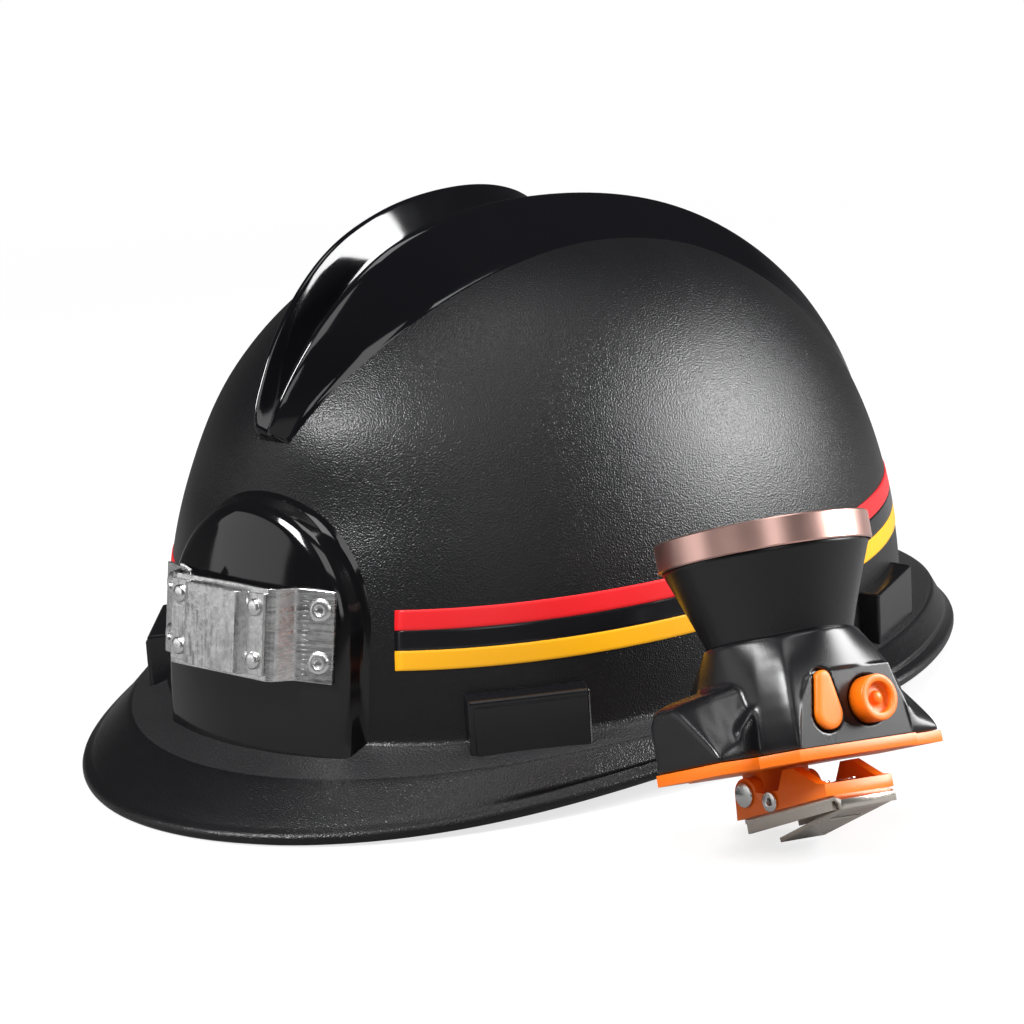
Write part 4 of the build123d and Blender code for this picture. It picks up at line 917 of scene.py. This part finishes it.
# The housing's panel is flat with a rolled border, and the port and the switch sit in pockets in it.
panel_depth = 21.96
panel_corners = np.array(((-18.2, 3.0), (-17.0, 9.0), (-14.8, 16.0), (-12.2, 19.8), (-8.6, 21.4),
                          (15.2, 21.6), (17.6, 13.0), (19.0, 3.0)))
port_x, port_low, port_high = -7.6, 10.8, 19.1
port_low_reach, port_high_reach = 4.2, 2.4
switch_x, switch_z, switch_reach = 6.0, 12.7, 5.7
pocket_depth, panel_roll, panel_from = 1.3, 0.7, 19.0


def inside_distance(places, corners):
    """How far each place lies inside a convex outline, negative outside."""
    closest = np.full(len(places), 1e9)
    for k in range(len(corners)):
        a, b = corners[k], corners[(k + 1) % len(corners)]
        way = (b - a) / np.linalg.norm(b - a)
        normal = np.array((way[1], -way[0]))
        closest = np.minimum(closest, (places - a) @ normal)
    return closest


def smooth_points(mesh, co, rounds):
    """Each point drawn half way to the middle of its neighbours, a few times."""
    ends = np.array([e.vertices[:] for e in mesh.edges])
    for _ in range(rounds):
        total = np.zeros_like(co)
        number = np.zeros(len(co))
        for here, there in ((0, 1), (1, 0)):
            np.add.at(total, ends[:, here], co[ends[:, there]])
            np.add.at(number, ends[:, here], 1)
        co = co + (total / np.maximum(number, 1)[:, None] - co) * 0.5
    return co


co = np.array([v.co for v in housing.data.vertices]) / MM
co = smooth_points(housing.data, co, housing_rounds)
front = co[:, 1] < -panel_from
within = inside_distance(co[:, [0, 2]], panel_corners)
press = np.clip((within + panel_roll / 2) / panel_roll, 0, 1)
press = press * press * (3 - 2 * press) * front
co[:, 1] = co[:, 1] + (-panel_depth - co[:, 1]) * press
along = np.clip((co[:, 2] - port_low) / (port_high - port_low), 0, 1)
off_port = np.hypot(co[:, 0] - port_x, co[:, 2] - (port_low + along * (port_high - port_low)))
off_port = off_port - (port_low_reach + (port_high_reach - port_low_reach) * along)
off_switch = np.hypot(co[:, 0] - switch_x, co[:, 2] - switch_z) - switch_reach
pocket = np.clip((0.75 - np.minimum(off_port, off_switch)) / 0.5, 0, 1) * front
co[:, 1] = co[:, 1] + pocket * pocket_depth
co[:, 2] = np.where(co[:, 2] < block_foot + 0.9, block_foot + (co[:, 2] - block_foot) * 0.35, co[:, 2])
co[:, 2] = np.maximum(co[:, 2], block_foot + 0.02)
housing.data.vertices.foreach_set("co", (co * MM).astype(np.float32).ravel())
housing.data.update()
lamp_satin = moulding("lamp_satin", (0.006, 0.006, 0.007), 0.29, 0.35, 0.014, mottle=0.04)
finish_piece(housing, [lamp_satin], "lamp_head", ["lamp_housing"], True, lamp_frame)

cone_line = [(18.0, 31.0), (18.7, 31.4), (19.0, 32.6), (20.6, 37.5), (22.6, 43.0), (24.5, 48.0), (26.1, 52.0),
             (26.5, 52.8), (26.4, 53.0), (26.4, 56.0), (25.3, 56.0), (25.2, 53.0), (23.2, 47.5), (17.6, 33.0),
             (17.2, 31.0), (18.0, 31.0)]
mesh_piece("lamp_cone", *turned_form(cone_line, 128), [lamp_satin], "lamp_head", "lamp_black",
           ["lamp_housing"], True, lamp_frame)


# Bezel: a ring turned from aluminium and anodised rose, pressed over the cone's end to hold the
# lens. Its edges are broken by a short chamfer.
def bevelled_turning(line, spokes, roll=0.35):
    """A turned form whose outline corners are broken by short chamfers."""
    closed = line[:-1]
    count = len(closed)
    eased_line = []
    for k in range(count):
        here = np.array(closed[k])
        for other in (np.array(closed[k - 1]), np.array(closed[(k + 1) % count])):
            gap = np.linalg.norm(other - here)
            eased_line.append(tuple(here + (other - here) * min(roll / gap, 0.4)))
    eased_line.append(eased_line[0])
    return turned_form(eased_line, spokes)


bezel_line = [(26.65, 53.1), (27.5, 53.1), (27.5, 60.3), (26.8, 60.3), (25.2, 59.5), (25.2, 59.0),
              (26.65, 59.0), (26.65, 53.1)]
rose_metal = moulding("rose_anodised", (0.80, 0.50, 0.44), 0.30, 5.0, 0.012, mottle=0.03, metal=1.0)
mesh_piece("bezel_ring", *bevelled_turning(bezel_line, 144), [rose_metal], "lamp_head", "bezel_metal",
           ["bezel"], True, lamp_frame).data.set_sharp_from_angle(angle=math.radians(30))


# Inside of the lamp: a clear lens over a rubber ring, a metallised bowl, a phosphor dome on its board
# and heat sink, and the cell, circuit board and socket behind them. All keep their drawn shapes.
lens_clear = bpy.data.materials.new("lens_clear")
lens_clear.use_nodes = True
lens_web = lens_clear.node_tree
lens_skin = lens_web.nodes["Principled BSDF"]
for socket, value in (("Transmission Weight", 1.0), ("IOR", 1.49), ("Base Color", (0.96, 0.98, 1.0, 1))):
    lens_skin.inputs[socket].default_value = value
lens_dust = add(lens_web, "TexNoise", {"Scale": 300})
lens_haze = add(lens_web, "MapRange", {"From Min": 0.55, "From Max": 0.8, "To Min": 0.01, "To Max": 0.08})
wire(lens_web, (lens_dust, "Fac", lens_haze, "Value"), (lens_haze, 0, lens_skin, "Roughness"))
black_rubber = moulding("black_rubber", (0.016, 0.016, 0.017), 0.62, 0.5, 0.03)
mirror_bowl = moulding("mirror_bowl", (0.88, 0.88, 0.9), 0.09, 2.4, 0.12, mottle=0.03, metal=1.0)
phosphor = moulding("phosphor", (0.86, 0.66, 0.10), 0.30, 0.3, 0.01)
board_green = moulding("board_lacquer", (0.02, 0.13, 0.05), 0.32, 0.9, 0.03)
cell_wrap = moulding("cell_wrap", (0.03, 0.10, 0.36), 0.30, 1.8, 0.03)
socket_steel = moulding("socket_steel", (0.62, 0.62, 0.61), 0.30, 0.8, 0.03, metal=1.0)
sink_metal = moulding("sink_metal", (0.74, 0.74, 0.74), 0.34, 0.8, 0.03, metal=1.0)
for node, finish in (("lens", lens_clear), ("lens_gasket", black_rubber), ("reflector", mirror_bowl),
                     ("led", phosphor), ("led_board", board_green), ("heat_sink", sink_metal),
                     ("cell", cell_wrap), ("circuit_board", board_green), ("charging_socket", socket_steel)):
    nodes[node].data.materials.clear()
    nodes[node].data.materials.append(finish)


# Lamp base: an orange plate under the housing, welded on, with the knuckle that the clip turns on
# moulded below it.
orange_satin = moulding("orange_satin", (0.88, 0.165, 0.004), 0.36, 0.5, 0.02, mottle=0.04)
eased("lamp_plate", "lamp_base", orange_satin, "lamp_head", 0.35, lamp_frame)


# Switch button: an orange cap with a rolled rim and a raised pip in its dished top. It pushes
# straight into the panel.
front_out = Matrix(((1, 0, 0, 0), (0, 0, -1, 0), (0, 1, 0, 0), (0, 0, 0, 1)))
button_line = [(0.05, -1.0), (5.85, -1.0), (5.85, 4.25), (5.78, 4.5), (5.62, 4.65), (5.4, 4.7), (4.15, 4.7),
               (3.95, 4.62), (3.86, 4.4), (3.82, 3.2), (3.7, 2.95), (3.5, 2.85), (2.0, 2.85), (1.75, 2.92),
               (1.62, 3.2), (1.55, 3.6), (1.3, 3.95), (0.8, 4.15), (0.05, 4.22)]
button_frame = lamp_frame @ Matrix.Translation(Vector((switch_x, -panel_depth, switch_z)) * MM) @ front_out
mesh_piece("switch_cap", *turned_form(button_line, 72), [orange_satin], "switch_button", "lamp_orange",
           ["switch_button"], True, button_frame)


# Port cover: a drop-shaped plug of orange rubber that pulls out of its pocket and swings up on
# its narrow end.
plug_rings = ((-0.15, -1.0), (-0.05, 0.35), (-0.10, 0.75), (-0.35, 1.05), (-0.75, 1.2), (-1.4, 1.28),
              (-2.0, 1.3))


def drop_outline(grow, steps=14):
    """The plug's outline on the panel, round a large and a small circle."""
    low_reach, high_reach = port_low_reach + grow, port_high_reach + grow
    lean = math.asin((low_reach - high_reach) / (port_high - port_low))
    places = [(high_reach * math.cos(t), port_high + high_reach * math.sin(t))
              for t in np.linspace(lean, math.pi - lean, steps)]
    places += [(low_reach * math.cos(t), port_low + low_reach * math.sin(t))
               for t in np.linspace(math.pi - lean, 2 * math.pi + lean, steps * 2)]
    return places


plug = [[(x, -panel_depth - out, z) for x, z in drop_outline(grow)] for grow, out in plug_rings]
faces = rows_of(len(plug), len(plug[0])) + [face[::-1] for face in end_faces(len(plug), len(plug[0]))]
orange_rubber = moulding("orange_rubber", (0.90, 0.19, 0.006), 0.44, 0.4, 0.02, mottle=0.05)
mesh_piece("port_plug", np.concatenate(plug), faces, [orange_rubber], "port_cover", "cover_rubber",
           ["port_cover"], True, lamp_frame @ Matrix.Translation(Vector((port_x, 0, 0)) * MM))


# Clip: an orange carrier that turns on the knuckle, and a leaf of spring steel that folds back
# under it into the tongue that drops into the helmet's bracket.
eased("clip_cheeks", "clip_carrier", orange_satin, "lamp_clip", 0.3, lamp_frame)
spring_steel = moulding("spring_steel", (0.74, 0.69, 0.62), 0.26, 4.0, 0.03, mottle=0.07, metal=1.0)
eased("clip_leaf", "spring_clip", spring_steel, "lamp_clip", 0.22, lamp_frame)
pin_steel = moulding("pin_steel", (0.70, 0.70, 0.69), 0.20, 0.8, 0.03, metal=1.0)
for name, node, ease in (("clip_rivet_pair", "clip_rivets", 0.2), ("clip_tube_rivet", "cross_pin", 0.25),
                         ("clip_pivot_screw", "pivot_pin", 0.25)):
    eased(name, node, pin_steel, "lamp_clip", ease, lamp_frame)
